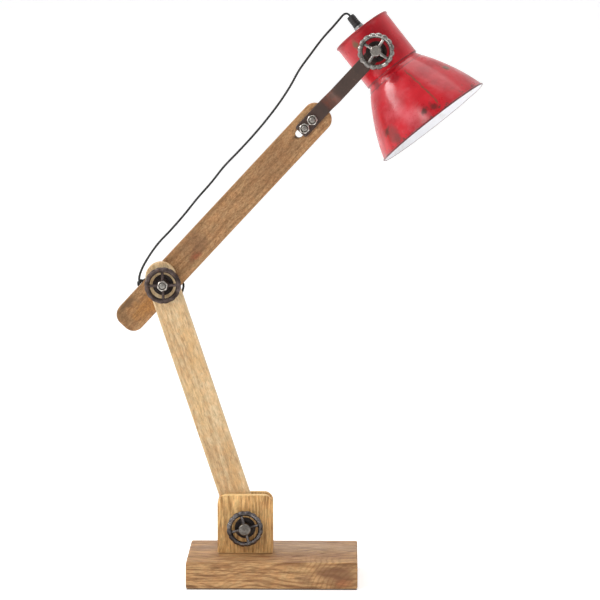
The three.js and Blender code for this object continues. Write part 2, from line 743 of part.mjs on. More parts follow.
function addGland() {
  const { radius, length, collarRadius, collarHeight } = GLAND;
  const collar = cut(
    barAlongZ(collarRadius, below(-GAP), below(-GAP - collarHeight), 20),
    barAlongZ(NIPPLE_RADIUS + GAP, below(2), below(-2 * collarHeight), 16),
  );
  headPiece("gland_collar", collar, COLOURS.steel, 0.3, 1);

  const foot = -2 * GAP - collarHeight;
  const top = foot - length;
  const socketDepth = 7;
  const body = turnedAboutZ(
    [
      [0, below(top)],
      [radius - 1.2, below(top)],
      [radius - 0.4, below(top + 1.4)],
      [radius, below(foot - 5)],
      [radius + 0.3, below(foot)],
      [NIPPLE_RADIUS + GAP, below(foot)],
      [NIPPLE_RADIUS + GAP, below(foot - socketDepth)],
      [0, below(foot - socketDepth)],
    ],
    20,
  );
  headPiece("cord_gland", body, COLOURS.blackPlastic, 0.5);
}

// ---------------------------------------------------------------- cord clips

// An arch-shaped saddle clip: it stands on z = 0 and the cord runs through it along X.
function cordClip(width, length) {
  const half = width / 2;
  const throat = CORD_DIAMETER / 2 + 2 * GAP;
  const height = cordLift + throat + CLIP.wall;
  const arch = new THREE.Shape();
  arch.moveTo(-half, 0);
  arch.lineTo(-throat, 0);
  arch.lineTo(-throat, cordLift);
  arch.absarc(0, cordLift, throat, Math.PI, 0, true);
  arch.lineTo(throat, 0);
  arch.lineTo(half, 0);
  arch.lineTo(half, 1.4);
  arch.lineTo(throat + CLIP.wall, height - 1);
  arch.lineTo(throat, height);
  arch.lineTo(-throat, height);
  arch.lineTo(-throat - CLIP.wall, height - 1);
  arch.lineTo(-half, 1.4);
  const bar = new THREE.ExtrudeGeometry(arch, {
    depth: length,
    bevelEnabled: false,
    curveSegments: 5,
  });
  return bar.translate(0, 0, -length / 2).rotateX(Math.PI / 2).rotateZ(Math.PI / 2);
}

function addClips() {
  const onBase = cordClip(CLIP.width, CLIP.length).rotateZ(Math.PI / 2);
  onBase.translate(BASE_CLIP.x, BASE_CLIP.y, BASE.top + GAP);
  piece(lamp, "base_cord_clip", onBase, COLOURS.blackPlastic, 0.5);

  // The lower arm's frame runs up the arm from the base pivot, with its back towards +Y.
  ARM_CLIPS.forEach((fromElbow, index) => {
    const onArm = cordClip(CLIP.width, CLIP.length).rotateX(-Math.PI / 2);
    onArm.translate(LOWER_ARM.pivots - fromElbow, LOWER_ARM.thickness / 2 + GAP, 0);
    piece(lowerArmFrame, `arm_cord_clip_${index + 1}`, onArm, COLOURS.blackPlastic, 0.5);
  });

  const onElbow = cordClip(ELBOW_CLIP.width, CLIP.length).rotateZ(Math.PI / 2);
  const narrowSide = UPPER_ARM_LINE + UPPER_ARM.width / 2;
  onElbow.translate(ELBOW_CLIP.along, ELBOW_CLIP.y, narrowSide + GAP);
  piece(upperArmFrame, "elbow_cord_clip", onElbow, COLOURS.blackPlastic, 0.5);
}

// ---------------------------------------------------------------- cord

// The route in one piece, from the shade's gland to the plug. Points are [x, y, z].
const ROUTE = {
  headSpan: [
    [120.6, 39, 888.7],
    [118.8, 39.3, 891],
    [115.8, 39.4, 892.4],
    [112.4, 39.2, 891.9],
    [109.4, 38.8, 889.7],
    [104, 37.8, 883.4],
    [94, 36.5, 871.8],
    [78, 34.5, 854],
    [59, 32.5, 829],
    [41, 31, 804],
    [27, 30, 779],
    [10, 29, 753],
    [-9, 28, 728],
    [-30, 27, 703],
    [-53, 26, 678],
    [-77, 25, 653],
    [-97, 24, 628],
    [-119, 23, 603],
    [-140, 21.5, 577],
    [-162, 19.6, 552],
    [-180, 17, 533],
    [-194, 14, 514],
    [-204.6, 11.2, 496],
    [-209.4, 9.6, 484],
    [-210.8, 9.6, 476.6],
    [-210.2, 12, 471.2],
    [-209.8, 16.4, 469.7],
    [-209.8, 21.4, 469.7],
  ],
  elbowLoop: [
    [-209.8, 21.8, 469.7],
    [-209.8, 26.4, 469.7],
    [-208.8, 30.2, 470.1],
    [-205.6, 32.6, 471.8],
    [-198.5, 33, 475.8],
    [-187, 31.6, 482.6],
    [-172, 31, 487],
    [-157, 30.6, 483.4],
    [-146.6, 29.8, 474.6],
    [-141.8, 27.6, 465.2],
    [-143.2, 22, 456.4],
    [-146.6, 15.8, 447],
    [-150.6, 12, 437.4],
    [-154, 10.6, 427.6],
    [-155.2, 10.35, 420.6],
    [-154.2, 10.35, 416],
  ],
  armRun: [
    [-154.1, 10.35, 415.6],
    [-145, 10.35, 388.2],
    [-135, 10.35, 358.4],
    [-125, 10.35, 328.5],
    [-115, 10.35, 298.6],
    [-105, 10.35, 268.7],
    [-95, 10.35, 238.9],
    [-85, 10.35, 209],
    [-77, 10.35, 185.1],
  ],
  baseDrop: [
    [-76.8, 10.35, 184.7],
    [-74.6, 11.4, 177],
    [-72, 16.6, 167],
    [-69.6, 25, 156],
    [-67.6, 35.4, 141],
    [-66.4, 44.6, 122],
    [-66, 51.6, 101],
    [-66, 57.6, 80],
    [-66, 61.8, 65],
    [-66, 64.4, 54.6],
    [-66, 67.6, 48.2],
    [-66, 72.4, 45.85],
    [-66, 77.8, 45.85],
  ],
  tableRun: [
    [-66, 78.2, 45.85],
    [-66, 82.6, 45.85],
    [-66, 88.6, 46.7],
    [-66, 94.8, 46.2],
    [-66, 99, 41.4],
    [-66, 100.2, 32],
    [-65.6, 101.2, 18],
    [-64, 104.6, 9],
    [-60.6, 110.4, 3.6],
    [-55, 117, 2.05],
    [-48, 122.6, 2.3],
    [-40, 126.4, 4.4],
    [-33.4, 128, 6.6],
    [-29.3, 128, 7],
  ],
  switchRun: [
    [33.3, 128, 7],
    [37.6, 127.9, 6.4],
    [43.4, 126.4, 4],
    [50, 123.8, 2.3],
    [57, 121.2, 2.2],
    [64, 119.6, 2.8],
    [71, 119, 3.3],
    [77.2, 119, 3.4],
  ],
  plugRun: [
    [77.2, 173, 6.9],
    [70, 173, 5.9],
    [61, 173.3, 3.8],
    [51, 173.9, 2.3],
    [40, 174.8, 2.05],
    [29, 175.5, 2.2],
    [18.6, 175.9, 3.6],
    [8.8, 176, 5.8],
    [0.3, 176, 6.8],
  ],
};

function cordTube(points, spacing) {
  const curve = new THREE.CatmullRomCurve3(
    points.map(([x, y, z]) => new THREE.Vector3(x, y, z)),
    false,
    "centripetal",
  );
  const section = new THREE.Shape();
  for (let side = 0; side < CORD_SIDES; side += 1) {
    const angle = (2 * Math.PI * side) / CORD_SIDES;
    const corner = [Math.cos(angle), Math.sin(angle)].map((value) => (value * CORD_DIAMETER) / 2);
    if (side === 0) section.moveTo(...corner);
    else section.lineTo(...corner);
  }
  const steps = Math.max(3, Math.round(curve.getLength() / spacing));
  return new THREE.ExtrudeGeometry(section, { steps, extrudePath: curve, bevelEnabled: false });
}

function cord(name, points, spacing = 3 * CORD_DIAMETER) {
  piece(lamp, name, cordTube(points, spacing), COLOURS.blackCord, 0.55);
}

// Most of the free cord is wound into a tied coil. The ring stands for its turns.
function addCoil() {
  const { x, y, midRadius, width, height } = COIL;
  const lift = TIE.thickness + 2 * GAP;
  const corner = height / 4;
  const half = width / 2;
  const section = [
    [midRadius - half, lift + corner],
    [midRadius - half + corner, lift],
    [midRadius + half - corner, lift],
    [midRadius + half, lift + corner],
    [midRadius + half, lift + height - corner],
    [midRadius + half - corner, lift + height],
    [midRadius - half + corner, lift + height],
    [midRadius - half, lift + height - corner],
    [midRadius - half, lift + corner],
  ];
  const ring = turnedAboutZ(section, 24).translate(x, y, 0);
  piece(lamp, "cord_coil", ring, COLOURS.blackCord, 0.55);

  const slack = GAP + 0.4; // the ring's inside is curved, and the band is straight
  const inner = new THREE.BoxGeometry(width + GAP + slack, TIE.width + 2, height + 2 * GAP);
  const outer = new THREE.BoxGeometry(
    width + GAP + slack + 2 * TIE.thickness,
    TIE.width,
    height + 2 * GAP + 2 * TIE.thickness,
  );
  const band = cut(outer, inner);
  band.translate(x + midRadius + (GAP - slack) / 2, y, lift + height / 2);
  piece(lamp, "cord_tie", band, COLOURS.blackPlastic, 0.6);
}

// ---------------------------------------------------------------- switch and plug

// A flat board lying on the table, its outline in X and Y.
function lyingBoard(outline, height, easing) {
  return board(outline, 0, height, easing).rotateX(-Math.PI / 2).translate(0, 0, height);
}

function addSwitch() {
  const { x, y, length, width, height } = SWITCH;
  const corners = equalCorners(7);
  const outline = roundedRectangle(-length / 2, length / 2, -width / 2, width / 2, corners);
  const blank = lyingBoard(outline, height, 2.4);
  const play = 0.6;
  const pocketDepth = ROCKER.pivotDrop + ROCKER.depth + 2;
  const pocket = new THREE.BoxGeometry(
    ROCKER.length + 2 * play,
    ROCKER.width + 2 * GAP,
    2 * pocketDepth,
  );
  pocket.translate(0, 0, height);
  const body = cut(blank, pocket).translate(x, y, 0);
  piece(lamp, "switch_body", body, COLOURS.blackPlastic, 0.45);

  const half = ROCKER.length / 2;
  const profile = new THREE.Shape();
  profile.moveTo(-half, ROCKER.rise);
  profile.lineTo(-half + 0.6, -ROCKER.depth);
  profile.lineTo(half - 0.6, -ROCKER.depth);
  profile.lineTo(half, ROCKER.rise);
  profile.lineTo(0, ROCKER.rise - 0.9);
  const rocker = new THREE.ExtrudeGeometry(profile, { depth: ROCKER.width, bevelEnabled: false });
  rocker.translate(0, 0, -ROCKER.width / 2).rotateX(Math.PI / 2);
  const place = new THREE.Vector3(x, y, height - ROCKER.pivotDrop);
  const pivot = turnedGroup(lamp, place, ROCKER.tilt);
  piece(pivot, "switch_rocker", rocker, COLOURS.rocker, 0.4);
}

function addPlug() {
  const { face, y, length, width, height, relief } = PLUG;
  const half = width / 2;
  const outline = new THREE.Shape();
  outline.moveTo(0, -half);
  outline.lineTo(length * 0.4, -half);
  outline.lineTo(length, -half * 0.36);
  outline.lineTo(length, half * 0.36);
  outline.lineTo(length * 0.4, half);
  outline.lineTo(0, half);
  const sleeve = turnedAboutY(
    [
      [0, length - 3],
      [4.6, length - 3],
      [2.7, length + relief],
      [0, length + relief],
    ],
    14,
  );
  sleeve.rotateZ(-Math.PI / 2).translate(0, 0, height / 2);
  const pinPlaces = [-PIN.spacing / 2, PIN.spacing / 2];
  const socketDepth = 4;
  const sockets = pinPlaces.map((across) => pinBar(PIN.radius + GAP, -1, socketDepth, across));
  const body = cut(join(lyingBoard(outline, height, 1.5), sleeve), ...sockets);
  piece(lamp, "plug_body", body.translate(face, y, 0), COLOURS.blackPlastic, 0.5);

  pinPlaces.forEach((across, index) => {
    const pin = pinBar(PIN.radius, -PIN.length, socketDepth - GAP, across);
    piece(lamp, `plug_pin_${index + 1}`, pin.translate(face, y, 0), COLOURS.brass, 0.3, 1);
  });
}

function pinBar(radius, from, to, across) {
  return barAlongY(radius, from, to, 12).rotateZ(-Math.PI / 2).translate(0, across, PLUG.height / 2);
}

addBase();
addCheeks();
addLowerArm();
addUpperArm();
addStrap();
addBasePivot();
addElbow();
addHeadPivot();
addCap();
addShade();
addLampHolder();
addBulb();
addGland();
addClips();
cord("cord_head_span", ROUTE.headSpan);
cord("cord_elbow_loop", ROUTE.elbowLoop);
cord("cord_arm_run", ROUTE.armRun, 30);
cord("cord_base_drop", ROUTE.baseDrop);
cord("cord_table_run", ROUTE.tableRun);
cord("cord_switch_run", ROUTE.switchRun);
cord("cord_plug_run", ROUTE.plugRun);
addCoil();
addSwitch();
addPlug();

export default lamp;
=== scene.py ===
# An architect's desk lamp, dressed for rendering over its CAD frame.
# Objects are in metres, in the CAD's frame. Sizes in this script are in millimetres, which MM
# turns into metres, and angles are in degrees.

import json
import math

import bmesh
import bpy
from mathutils import Matrix, Vector, noise


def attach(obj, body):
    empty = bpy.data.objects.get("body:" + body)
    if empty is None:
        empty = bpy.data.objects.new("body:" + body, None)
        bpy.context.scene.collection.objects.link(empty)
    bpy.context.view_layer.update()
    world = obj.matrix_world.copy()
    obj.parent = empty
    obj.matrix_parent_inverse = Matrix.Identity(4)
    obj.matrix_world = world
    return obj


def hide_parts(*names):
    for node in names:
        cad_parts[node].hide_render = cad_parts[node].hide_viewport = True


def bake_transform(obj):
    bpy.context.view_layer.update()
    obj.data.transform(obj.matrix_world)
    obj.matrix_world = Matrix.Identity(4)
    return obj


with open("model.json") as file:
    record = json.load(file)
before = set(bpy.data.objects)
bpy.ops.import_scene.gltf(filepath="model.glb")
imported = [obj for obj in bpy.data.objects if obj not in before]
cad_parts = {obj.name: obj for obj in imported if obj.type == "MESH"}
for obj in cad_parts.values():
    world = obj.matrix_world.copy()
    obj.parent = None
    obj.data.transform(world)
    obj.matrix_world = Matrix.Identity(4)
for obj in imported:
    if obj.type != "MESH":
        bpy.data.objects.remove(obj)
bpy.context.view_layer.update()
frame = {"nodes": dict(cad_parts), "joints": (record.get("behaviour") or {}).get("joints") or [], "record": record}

MM = 0.001

# -------- driving dimensions

BASE = {"length": 268, "depth": 188, "bottom": 1.8, "top": 43.5, "corner": 3, "edge": 1.6}
CHEEK = {"width": 87.6, "foot": 43.8, "top": 137.5, "near": 8.3, "far": 19.9}
CHEEK_CORNERS = (2, 15)  # at the foot, at the top
LOWER_ARM = {"pivots": 405, "lean": 18.5, "width": 48, "thickness": 16, "overhang": 12.5}
UPPER_ARM = {"pitch": 47, "line": 2, "width": 48, "tail": 93, "reach": 375, "corner": 18}
UPPER_ARM_FACES = (10.2, 26.2)
WOOD_EDGE = 1.5
BOLT_HOLE = 5  # radius

STRAP = {"width": 23, "thickness": 3, "line": 5, "start": 321, "pivot": 495.2, "end": 510.2}
STRAP_MIDDLES = (8.4, -22.3)  # the lower and the upper leg's middle plane
STRAP_JOGGLE = (378, 403)
STRAP_BOLTS = (330.3, 348.3)
ARM_SLOT = {"half": 6, "start": 317.9, "end": 354}
HEAD_TWIST = -7  # of the strap's head end, about the strap
HEAD_TILT = 38.4  # of the shade's axis from straight down

WASHER = {"radius": 16.4, "hole": 5, "thickness": 1.6}
REAR_WASHER = {"radius": 12, "hole": 5, "thickness": 1.6}
HEX = {"flats": 14.6, "height": 6.2}
BOLT_RADIUS = 4.5
GAP = 0.3  # air between pieces that are clamped together
NUT_BORE = BOLT_RADIUS + GAP
WHEEL = {"rim": 24.8, "section": 4.1, "scallops": 16, "hub": 8.2, "hub_back": 10.5}
HUB_LENGTH = 14
RIM_PLANE = 9
WHEEL_TURNS = {"base": 15, "elbow": 2, "head": 58}  # the first spoke's angle from level
LOBE_DEPTHS = {"base": 1.3, "elbow": 0.8, "head": 1.9}  # how deep the rim is scalloped

CAP = {"radius": 47.6, "lip": 49.2, "length": 79.2, "wall": 1.2, "above_pivot": 46.5}
SHADE = {"neck": 46, "mouth": 96.3, "rim": 98.4, "wall": 1.1}
SHADE_REACH = {"collar": 67.2, "neck_end": 82.2, "mouth": 185}
HEAD_AXIS_Y = 52.7  # from the strap's middle plane to the shade's axis
GLAND = {"radius": 7, "length": 20, "collar_radius": 8.8, "collar_height": 7.6}
HOLDER = {"radius": 19.5, "bore": 13.9, "top": 9, "length": 46, "flange": 22}
NIPPLE_HOLE = 5.1  # radius, in the cap and in all that the hollow nipple passes through
BULB = {"cap": 13.2, "cap_top": 28, "glass_top": 56, "radius": 29, "end": 137, "wall": 1.2}

CORD_DIAMETER = 3.5
CORD_STEP = 2.5  # between the rings of points along it
# The coil's middle, the radius of its inner and outer turns, and the height of its two layers.
COIL = {"x": 92, "y": 146, "inner": 13, "outer": 27, "low": 3.4, "high": 6.9}

# The cord's route, from the shade's gland to the plug, as in the CAD.
ROUTE = {
    "head_span": [
        (120.6, 39, 888.7), (118.8, 39.3, 891), (115.8, 39.4, 892.4), (112.4, 39.2, 891.9),
        (109.4, 38.8, 889.7), (104, 37.8, 883.4), (94, 36.5, 871.8), (78, 34.5, 854),
        (59, 32.5, 829), (41, 31, 804), (27, 30, 779), (10, 29, 753), (-9, 28, 728),
        (-30, 27, 703), (-53, 26, 678), (-77, 25, 653), (-97, 24, 628), (-119, 23, 603),
        (-140, 21.5, 577), (-162, 19.6, 552), (-180, 17, 533), (-194, 14, 514),
        (-204.6, 11.2, 496), (-209.4, 9.6, 484), (-210.8, 9.6, 476.6), (-210.2, 12, 471.2),
        (-209.8, 16.4, 469.7), (-209.8, 21.4, 469.7),
    ],
    "elbow_loop": [
        (-209.8, 21.8, 469.7), (-209.8, 26.4, 469.7), (-208.8, 30.2, 470.1),
        (-205.6, 32.6, 471.8), (-198.5, 33, 475.8), (-187, 31.6, 482.6), (-172, 31, 487),
        (-157, 30.6, 483.4), (-146.6, 29.8, 474.6), (-141.8, 27.6, 465.2),
        (-143.2, 22, 456.4), (-146.6, 15.8, 447), (-150.6, 12, 437.4), (-154, 10.6, 427.6),
        (-155.2, 10.35, 420.6), (-154.2, 10.35, 416),
    ],
    "arm_run": [
        (-154.1, 10.35, 415.6), (-145, 10.35, 388.2), (-135, 10.35, 358.4),
        (-125, 10.35, 328.5), (-115, 10.35, 298.6), (-105, 10.35, 268.7),
        (-95, 10.35, 238.9), (-85, 10.35, 209), (-77, 10.35, 185.1),
    ],
    "base_drop": [
        (-76.8, 10.35, 184.7), (-74.6, 11.4, 177), (-72, 16.6, 167), (-69.6, 25, 156),
        (-67.6, 35.4, 141), (-66.4, 44.6, 122), (-66, 51.6, 101), (-66, 57.6, 80),
        (-66, 61.8, 65), (-66, 64.4, 54.6), (-66, 67.6, 48.2), (-66, 72.4, 45.85),
        (-66, 77.8, 45.85),
    ],
    "table_run": [
        (-66, 78.2, 45.85), (-66, 82.6, 45.85), (-66, 88.6, 46.7), (-66, 94.8, 46.2),
        (-66, 99, 41.4), (-66, 100.2, 32), (-65.6, 101.2, 18), (-64, 104.6, 9),
        (-60.6, 110.4, 3.6), (-55, 117, 2.05), (-48, 122.6, 2.3), (-40, 126.4, 4.4),
        (-33.4, 128, 6.6), (-29.3, 128, 7),
    ],
    "switch_run": [
        (33.3, 128, 7), (37.6, 127.9, 6.4), (43.4, 126.4, 4), (50, 123.8, 2.3),
        (57, 121.2, 2.2), (64, 119.6, 2.8), (71, 119, 3.3), (77.2, 119, 3.4),
    ],
    "plug_run": [
        (77.2, 173, 6.9), (70, 173, 5.9), (61, 173.3, 3.8), (51, 173.9, 2.3),
        (40, 174.8, 2.05), (29, 175.5, 2.2), (18.6, 175.9, 3.6), (8.8, 176, 5.8),
        (0.3, 176, 6.8),
    ],
}

# Small distances and settings that the shapes and materials share.
PAST = 1  # how far a drill reaches beyond the wood
OVERLAP = 0.01  # between solids that are merged
ON_AXIS = 1e-6  # a radius that counts as none
WAVE_RINGS = 0.314  # metres from one ring to the next in a wave texture whose scale is 1

# -------- camera, light and floor


def add_camera():
    data = bpy.data.cameras.new("camera")
    data.sensor_width = 36
    data.lens = 192.47
    data.clip_end = 100
    camera = add_object("camera", data)
    camera.location = (0.1221, -5.0128, 0.9983)
    pitch, yaw = 6.304, 0.906  # below level, and to the left
    camera.rotation_euler = (math.radians(90 - pitch), 0, math.radians(yaw))
    bpy.context.scene.camera = camera


def area_light(name, place, aim, size, watts, colour=(1, 1, 1)):
    data = bpy.data.lights.new(name, "AREA")
    data.shape = "RECTANGLE"
    data.size, data.size_y = size
    data.energy = watts
    data.color = colour
    light = add_object(name, data)
    light.location = place
    direction = Vector(aim) - Vector(place)
    light.rotation_euler = direction.to_track_quat("-Z", "Y").to_euler()


def add_lights():
    """A white room that is dim behind the camera, with a softbox on the left and one above."""
    world = bpy.data.worlds.new("studio")
    bpy.context.scene.world = world
    world.use_nodes = True
    nodes, links = world.node_tree.nodes, world.node_tree.links
    direction = nodes.new("ShaderNodeTexCoord").outputs["Generated"]
    split = nodes.new("ShaderNodeSeparateXYZ")
    links.new(direction, split.inputs[0])
    dimming = nodes.new("ShaderNodeMapRange")
    dimming.interpolation_type = "SMOOTHSTEP"
    limits = (-0.7, 0.35, 0.30, 0.95)  # of the direction, then of the strength
    for socket, value in enumerate(limits, 1):
        dimming.inputs[socket].default_value = value
    links.new(split.outputs["Y"], dimming.inputs[0])
    background = nodes["Background"]
    links.new(dimming.outputs[0], background.inputs["Strength"])
    background.inputs["Color"].default_value = (1, 1, 1, 1)

    middle = (0, 0, 0.5)
    area_light("left_softbox", (-2.3, -0.25, 1.95), (0.1, 0, 0.7), (0.8, 1.1), 39)
    area_light("front", (-2.0, -3.2, 2.5), middle, (1.2, 1.2), 47, (1, 0.985, 0.965))
    area_light("right_fill", (2.4, -1.6, 1.5), middle, (1.0, 1.8), 8)
    area_light("top", (0.3, 0.3, 3.2), middle, (1.6, 1.6), 20)
    bpy.context.scene.view_settings.view_transform = "Standard"


def add_floor():
    """A pale floor that sweeps up into a backdrop."""
    front, back, radius, top, half = -9, 3.5, 2.5, 9, 12
    steps = 16
    profile = [(front, 0)]
    for step in range(steps + 1):
        angle = 0.5 * math.pi * step / steps
        profile.append((back + radius * math.sin(angle), radius * (1 - math.cos(angle))))
    profile.append((back + radius, top))
    vertices = [(x, y, z) for y, z in profile for x in (-half, half)]
    faces = [(2 * i, 2 * i + 1, 2 * i + 3, 2 * i + 2) for i in range(len(profile) - 1)]
    mesh = bpy.data.meshes.new("floor")
    mesh.from_pydata(vertices, [], faces)
    mesh.shade_smooth()
    add_object("floor", mesh)
    mesh.materials.append(floor_material())


def floor_material():
    """Pale paper that glows faintly, so that it stays white as far as it can be seen."""
    shader = Shader("studio_floor", Roughness=0.9, Emission_Strength=0.38,
                    Emission_Color=(1, 1, 1, 1))
    shader.blend(shader.noise(3), (246, 246, 246), (244, 244, 244))
    return shader.finished()


# -------- mesh helpers


def add_object(name, data, place=None):
    """Puts a mesh, a light or a camera in the scene, in the frame called place."""
    obj = bpy.data.objects.new(name, data)
    obj.matrix_world = place or Matrix.Identity(4)
    bpy.context.scene.collection.objects.link(obj)
    return obj


def make_object(name, vertices, faces, place):
    """A smooth-shaded mesh from vertices in millimetres."""
    mesh = bpy.data.meshes.new(name)
    mesh.from_pydata([Vector(v) * MM for v in vertices], [], faces)
    mesh.validate()
    return smooth(add_object(name, mesh, place))


def smooth(obj, sharp_angle=32):
    obj.data.shade_smooth()
    obj.data.set_sharp_from_angle(angle=math.radians(sharp_angle))
    return obj


def tidy_mesh(obj):
    """Welds the points that fall together, and turns every face outwards."""
    shape = bmesh.new()
    shape.from_mesh(obj.data)
    bmesh.ops.remove_doubles(shape, verts=shape.verts, dist=1e-6)
    bmesh.ops.recalc_face_normals(shape, faces=shape.faces)
    shape.to_mesh(obj.data)
    shape.free()
    return smooth(obj)


def settle(obj):
    """Makes the result of the object's modifiers its mesh."""
    graph = bpy.context.evaluated_depsgraph_get()
    mesh = bpy.data.meshes.new_from_object(obj.evaluated_get(graph))
    obj.modifiers.clear()
    obj.data = mesh
    return smooth(obj)


def quads(count, sides, closed):
    """Faces between neighbouring rings of points, and from the last to the first if closed."""
    faces = []
    for ring in range(count if closed else count - 1):
        here, there = ring * sides, (ring + 1) % count * sides
        for side in range(sides):
            beside = (side + 1) % sides
            faces.append((here + side, here + beside, there + beside, there + side))
    return faces


def skin(name, rings, place=None, closed=False):
    """A solid over rings of points, which end in two flat faces or close on themselves."""
    count, sides = len(rings), len(rings[0])
    faces = quads(count, sides, closed)
    if not closed:
        faces += [tuple(range(sides)), tuple(range((count - 1) * sides, count * sides))]
    vertices = [point for ring in rings for point in ring]
    return tidy_mesh(make_object(name, vertices, faces, place))


def merged(name, *parts):
    """One object out of several solids that are welded or forged together."""
    shape = bmesh.new()
    place = parts[0].matrix_world.copy()
    for part in parts:
        part.data.transform(place.inverted() @ part.matrix_world)
        shape.from_mesh(part.data)
        bpy.data.objects.remove(part)
    mesh = bpy.data.meshes.new(name)
    shape.to_mesh(mesh)
    shape.free()
    return smooth(add_object(name, mesh, place))


def round_angles(count):
    return [2 * math.pi * step / count for step in range(count)]


def polar(radius, angle):
    return radius * math.cos(angle), radius * math.sin(angle)


def eased_step(t):
    t = min(max(t, 0), 1)
    return t * t * (3 - 2 * t)


# -------- cord


def catmull_rom(points):
    """A path in metres, a centripetal Catmull-Rom curve through points in millimetres."""
    knots = [Vector([c * MM for c in point]) for point in points]
    knots = [2 * knots[0] - knots[1], *knots, 2 * knots[-1] - knots[-2]]
    path = []
    for p0, p1, p2, p3 in zip(knots, knots[1:], knots[2:], knots[3:]):
        t0 = 0
        t1 = t0 + math.sqrt((p1 - p0).length)
        t2 = t1 + math.sqrt((p2 - p1).length)
        t3 = t2 + math.sqrt((p3 - p2).length)
        pieces = max(1, round((p2 - p1).length / (CORD_STEP * MM)))
        for piece in range(pieces):
            t = t1 + (t2 - t1) * piece / pieces
            a1 = p0.lerp(p1, (t - t0) / (t1 - t0))
            a2 = p1.lerp(p2, (t - t1) / (t2 - t1))
            a3 = p2.lerp(p3, (t - t2) / (t3 - t2))
            b1 = a1.lerp(a2, (t - t0) / (t2 - t0))
            b2 = a2.lerp(a3, (t - t1) / (t3 - t1))
            path.append(b1.lerp(b2, (t - t1) / (t2 - t1)))
    return [*path, knots[-2]]


def cord_tube(name, path):
    """A closed round tube along a path of points in metres."""
    radius, sides = CORD_DIAMETER / 2, 12
    rings = []
    across = None
    last = len(path) - 1
    for index, point in enumerate(path):
        tangent = (path[min(index + 1, last)] - path[max(index - 1, 0)]).normalized()
        if across is None:
            across = tangent.orthogonal().normalized()
        across = (across - tangent * across.dot(tangent)).normalized()
        other = tangent.cross(across)
        offsets = [across * math.cos(a) + other * math.sin(a) for a in round_angles(sides)]
        rings.append([point / MM + offset * radius for offset in offsets])
    return skin(name, rings)


def coil_path():
    """The coil's turns: in at the outside of the lower layer, out at the outside of the upper."""
    steps_per_turn = 36
    per_layer = 4.25  # turns, of which the last quarter climbs or leaves
    climb_start, climb_share = 0.47, 0.06
    columns = COIL["outer"] - COIL["inner"]
    path = []
    total = round(2 * per_layer * steps_per_turn)
    for step in range(total + 1):
        share = step / total
        turn = -0.25 + 2 * per_layer * share
        inward = 1 - abs(2 * share - 1)
        climb = eased_step((share - climb_start) / climb_share)
        radius = COIL["outer"] - columns * min(inward * per_layer / (per_layer - 0.25), 1)
        height = COIL["low"] + (COIL["high"] - COIL["low"]) * climb
        x, y = polar(radius, 2 * math.pi * turn)
        path.append(Vector((COIL["x"] + x, COIL["y"] + y, height)) * MM)
    return path


def stretch(name, path, nodes, body=None, across=None, **facts):
    """One length of cord, which rides on a body, or else stays where it is laid; across is not used."""
    obj = cord_tube(name, path)
    obj.data.materials.append(looks["black_cord"])
    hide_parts(*nodes)
    if body:
        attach(obj, body)
    else:
        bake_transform(obj)


def add_cord():
    """The cord is cut only where a clip holds it, so that each stretch spans at most one joint."""
    paths = {name: catmull_rom(points) for name, points in ROUTE.items()}
    span, loop, drop = (paths[name] for name in ("head_span", "elbow_loop", "base_drop"))
    bend_start = (-0.03, 0.027, 0.703)  # where the span starts to feel the shade's tilt
    stretch("cord_to_shade", span, ["cord_head_span"], far_end="object", lay="hanging",
            across=("upper_arm", "head", bend_start, span[0]))
    stretch("cord_at_elbow", loop, ["cord_elbow_loop"], far_end="object", lay="loose",
            across=("upper_arm", "lower_arm", loop[0], loop[-1]))
    stretch("cord_on_arm", paths["arm_run"], ["cord_arm_run"], "lower_arm",
            far_end="object", lay="taut")
    stretch("cord_to_base", drop, ["cord_base_drop"], far_end="object", lay="loose",
            across=("lower_arm", "base", drop[0], drop[-1]))
    stretch("cord_to_switch", paths["table_run"], ["cord_table_run"], "base",
            far_end="fitting", lay="loose", with_pieces=["switch_body", "switch_rocker"])
    coiled = paths["switch_run"][:-1] + coil_path() + paths["plug_run"][1:]
    stretch("cord_coiled", coiled, ["cord_switch_run", "cord_coil", "cord_plug_run"], "base",
            far_end="plug", lay="coiled",
            with_pieces=["plug_body", "plug_pin_1", "plug_pin_2", "cord_tie"])


# -------- frames


def turned(origin, angle):
    """A frame turned anticlockwise as seen from the front, with its y axis still level."""
    return Matrix.Translation(origin) @ Matrix.Rotation(-math.radians(angle), 4, "Y")


def moved(place, x, y, z):
    return place @ Matrix.Translation(Vector((x, y, z)) * MM)


def facing_front(place, x=0, z=0):
    """A frame on the middle plane whose z axis points at the viewer."""
    return moved(place, x, 0, z) @ Matrix.Rotation(math.radians(90), 4, "X")


def facing_back(place):
    return place @ Matrix.Rotation(math.pi, 4, "X")


pivots = {joint["name"]: Vector(joint["pos_m"]) for joint in frame["joints"]}
bodies = frame["record"]["behaviour"]["bodies"]
body_of = {node: body for body, nodes in bodies.items() for node in nodes}
WORLD = Matrix.Identity(4)
BASE_PIVOT = Matrix.Translation(pivots["base_tilt"])
LOWER = turned(pivots["base_tilt"], 90 + LOWER_ARM["lean"])
UPPER = turned(pivots["elbow_tilt"], UPPER_ARM["pitch"])
STRAP_HEAD = moved(UPPER, STRAP["pivot"], STRAP_MIDDLES[1], STRAP["line"])
STRAP_HEAD = STRAP_HEAD @ Matrix.Rotation(math.radians(HEAD_TWIST), 4, "X")
HEAD = turned(Vector(), HEAD_TILT - UPPER_ARM["pitch"])
HEAD = moved(STRAP_HEAD @ HEAD, 0, HEAD_AXIS_Y, CAP["above_pivot"])
HEAD = facing_back(HEAD)  # z runs down the shade's axis from the cap's top


def dress(obj, look, *nodes, slot=None):
    """Gives a piece its finish, in place of CAD nodes, and lets it ride where they ride."""
    obj.data.materials.clear()
    obj.data.materials.append(looks[look])
    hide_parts(*nodes)
    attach(obj, body_of[nodes[0]])


# -------- turned and sawn solids


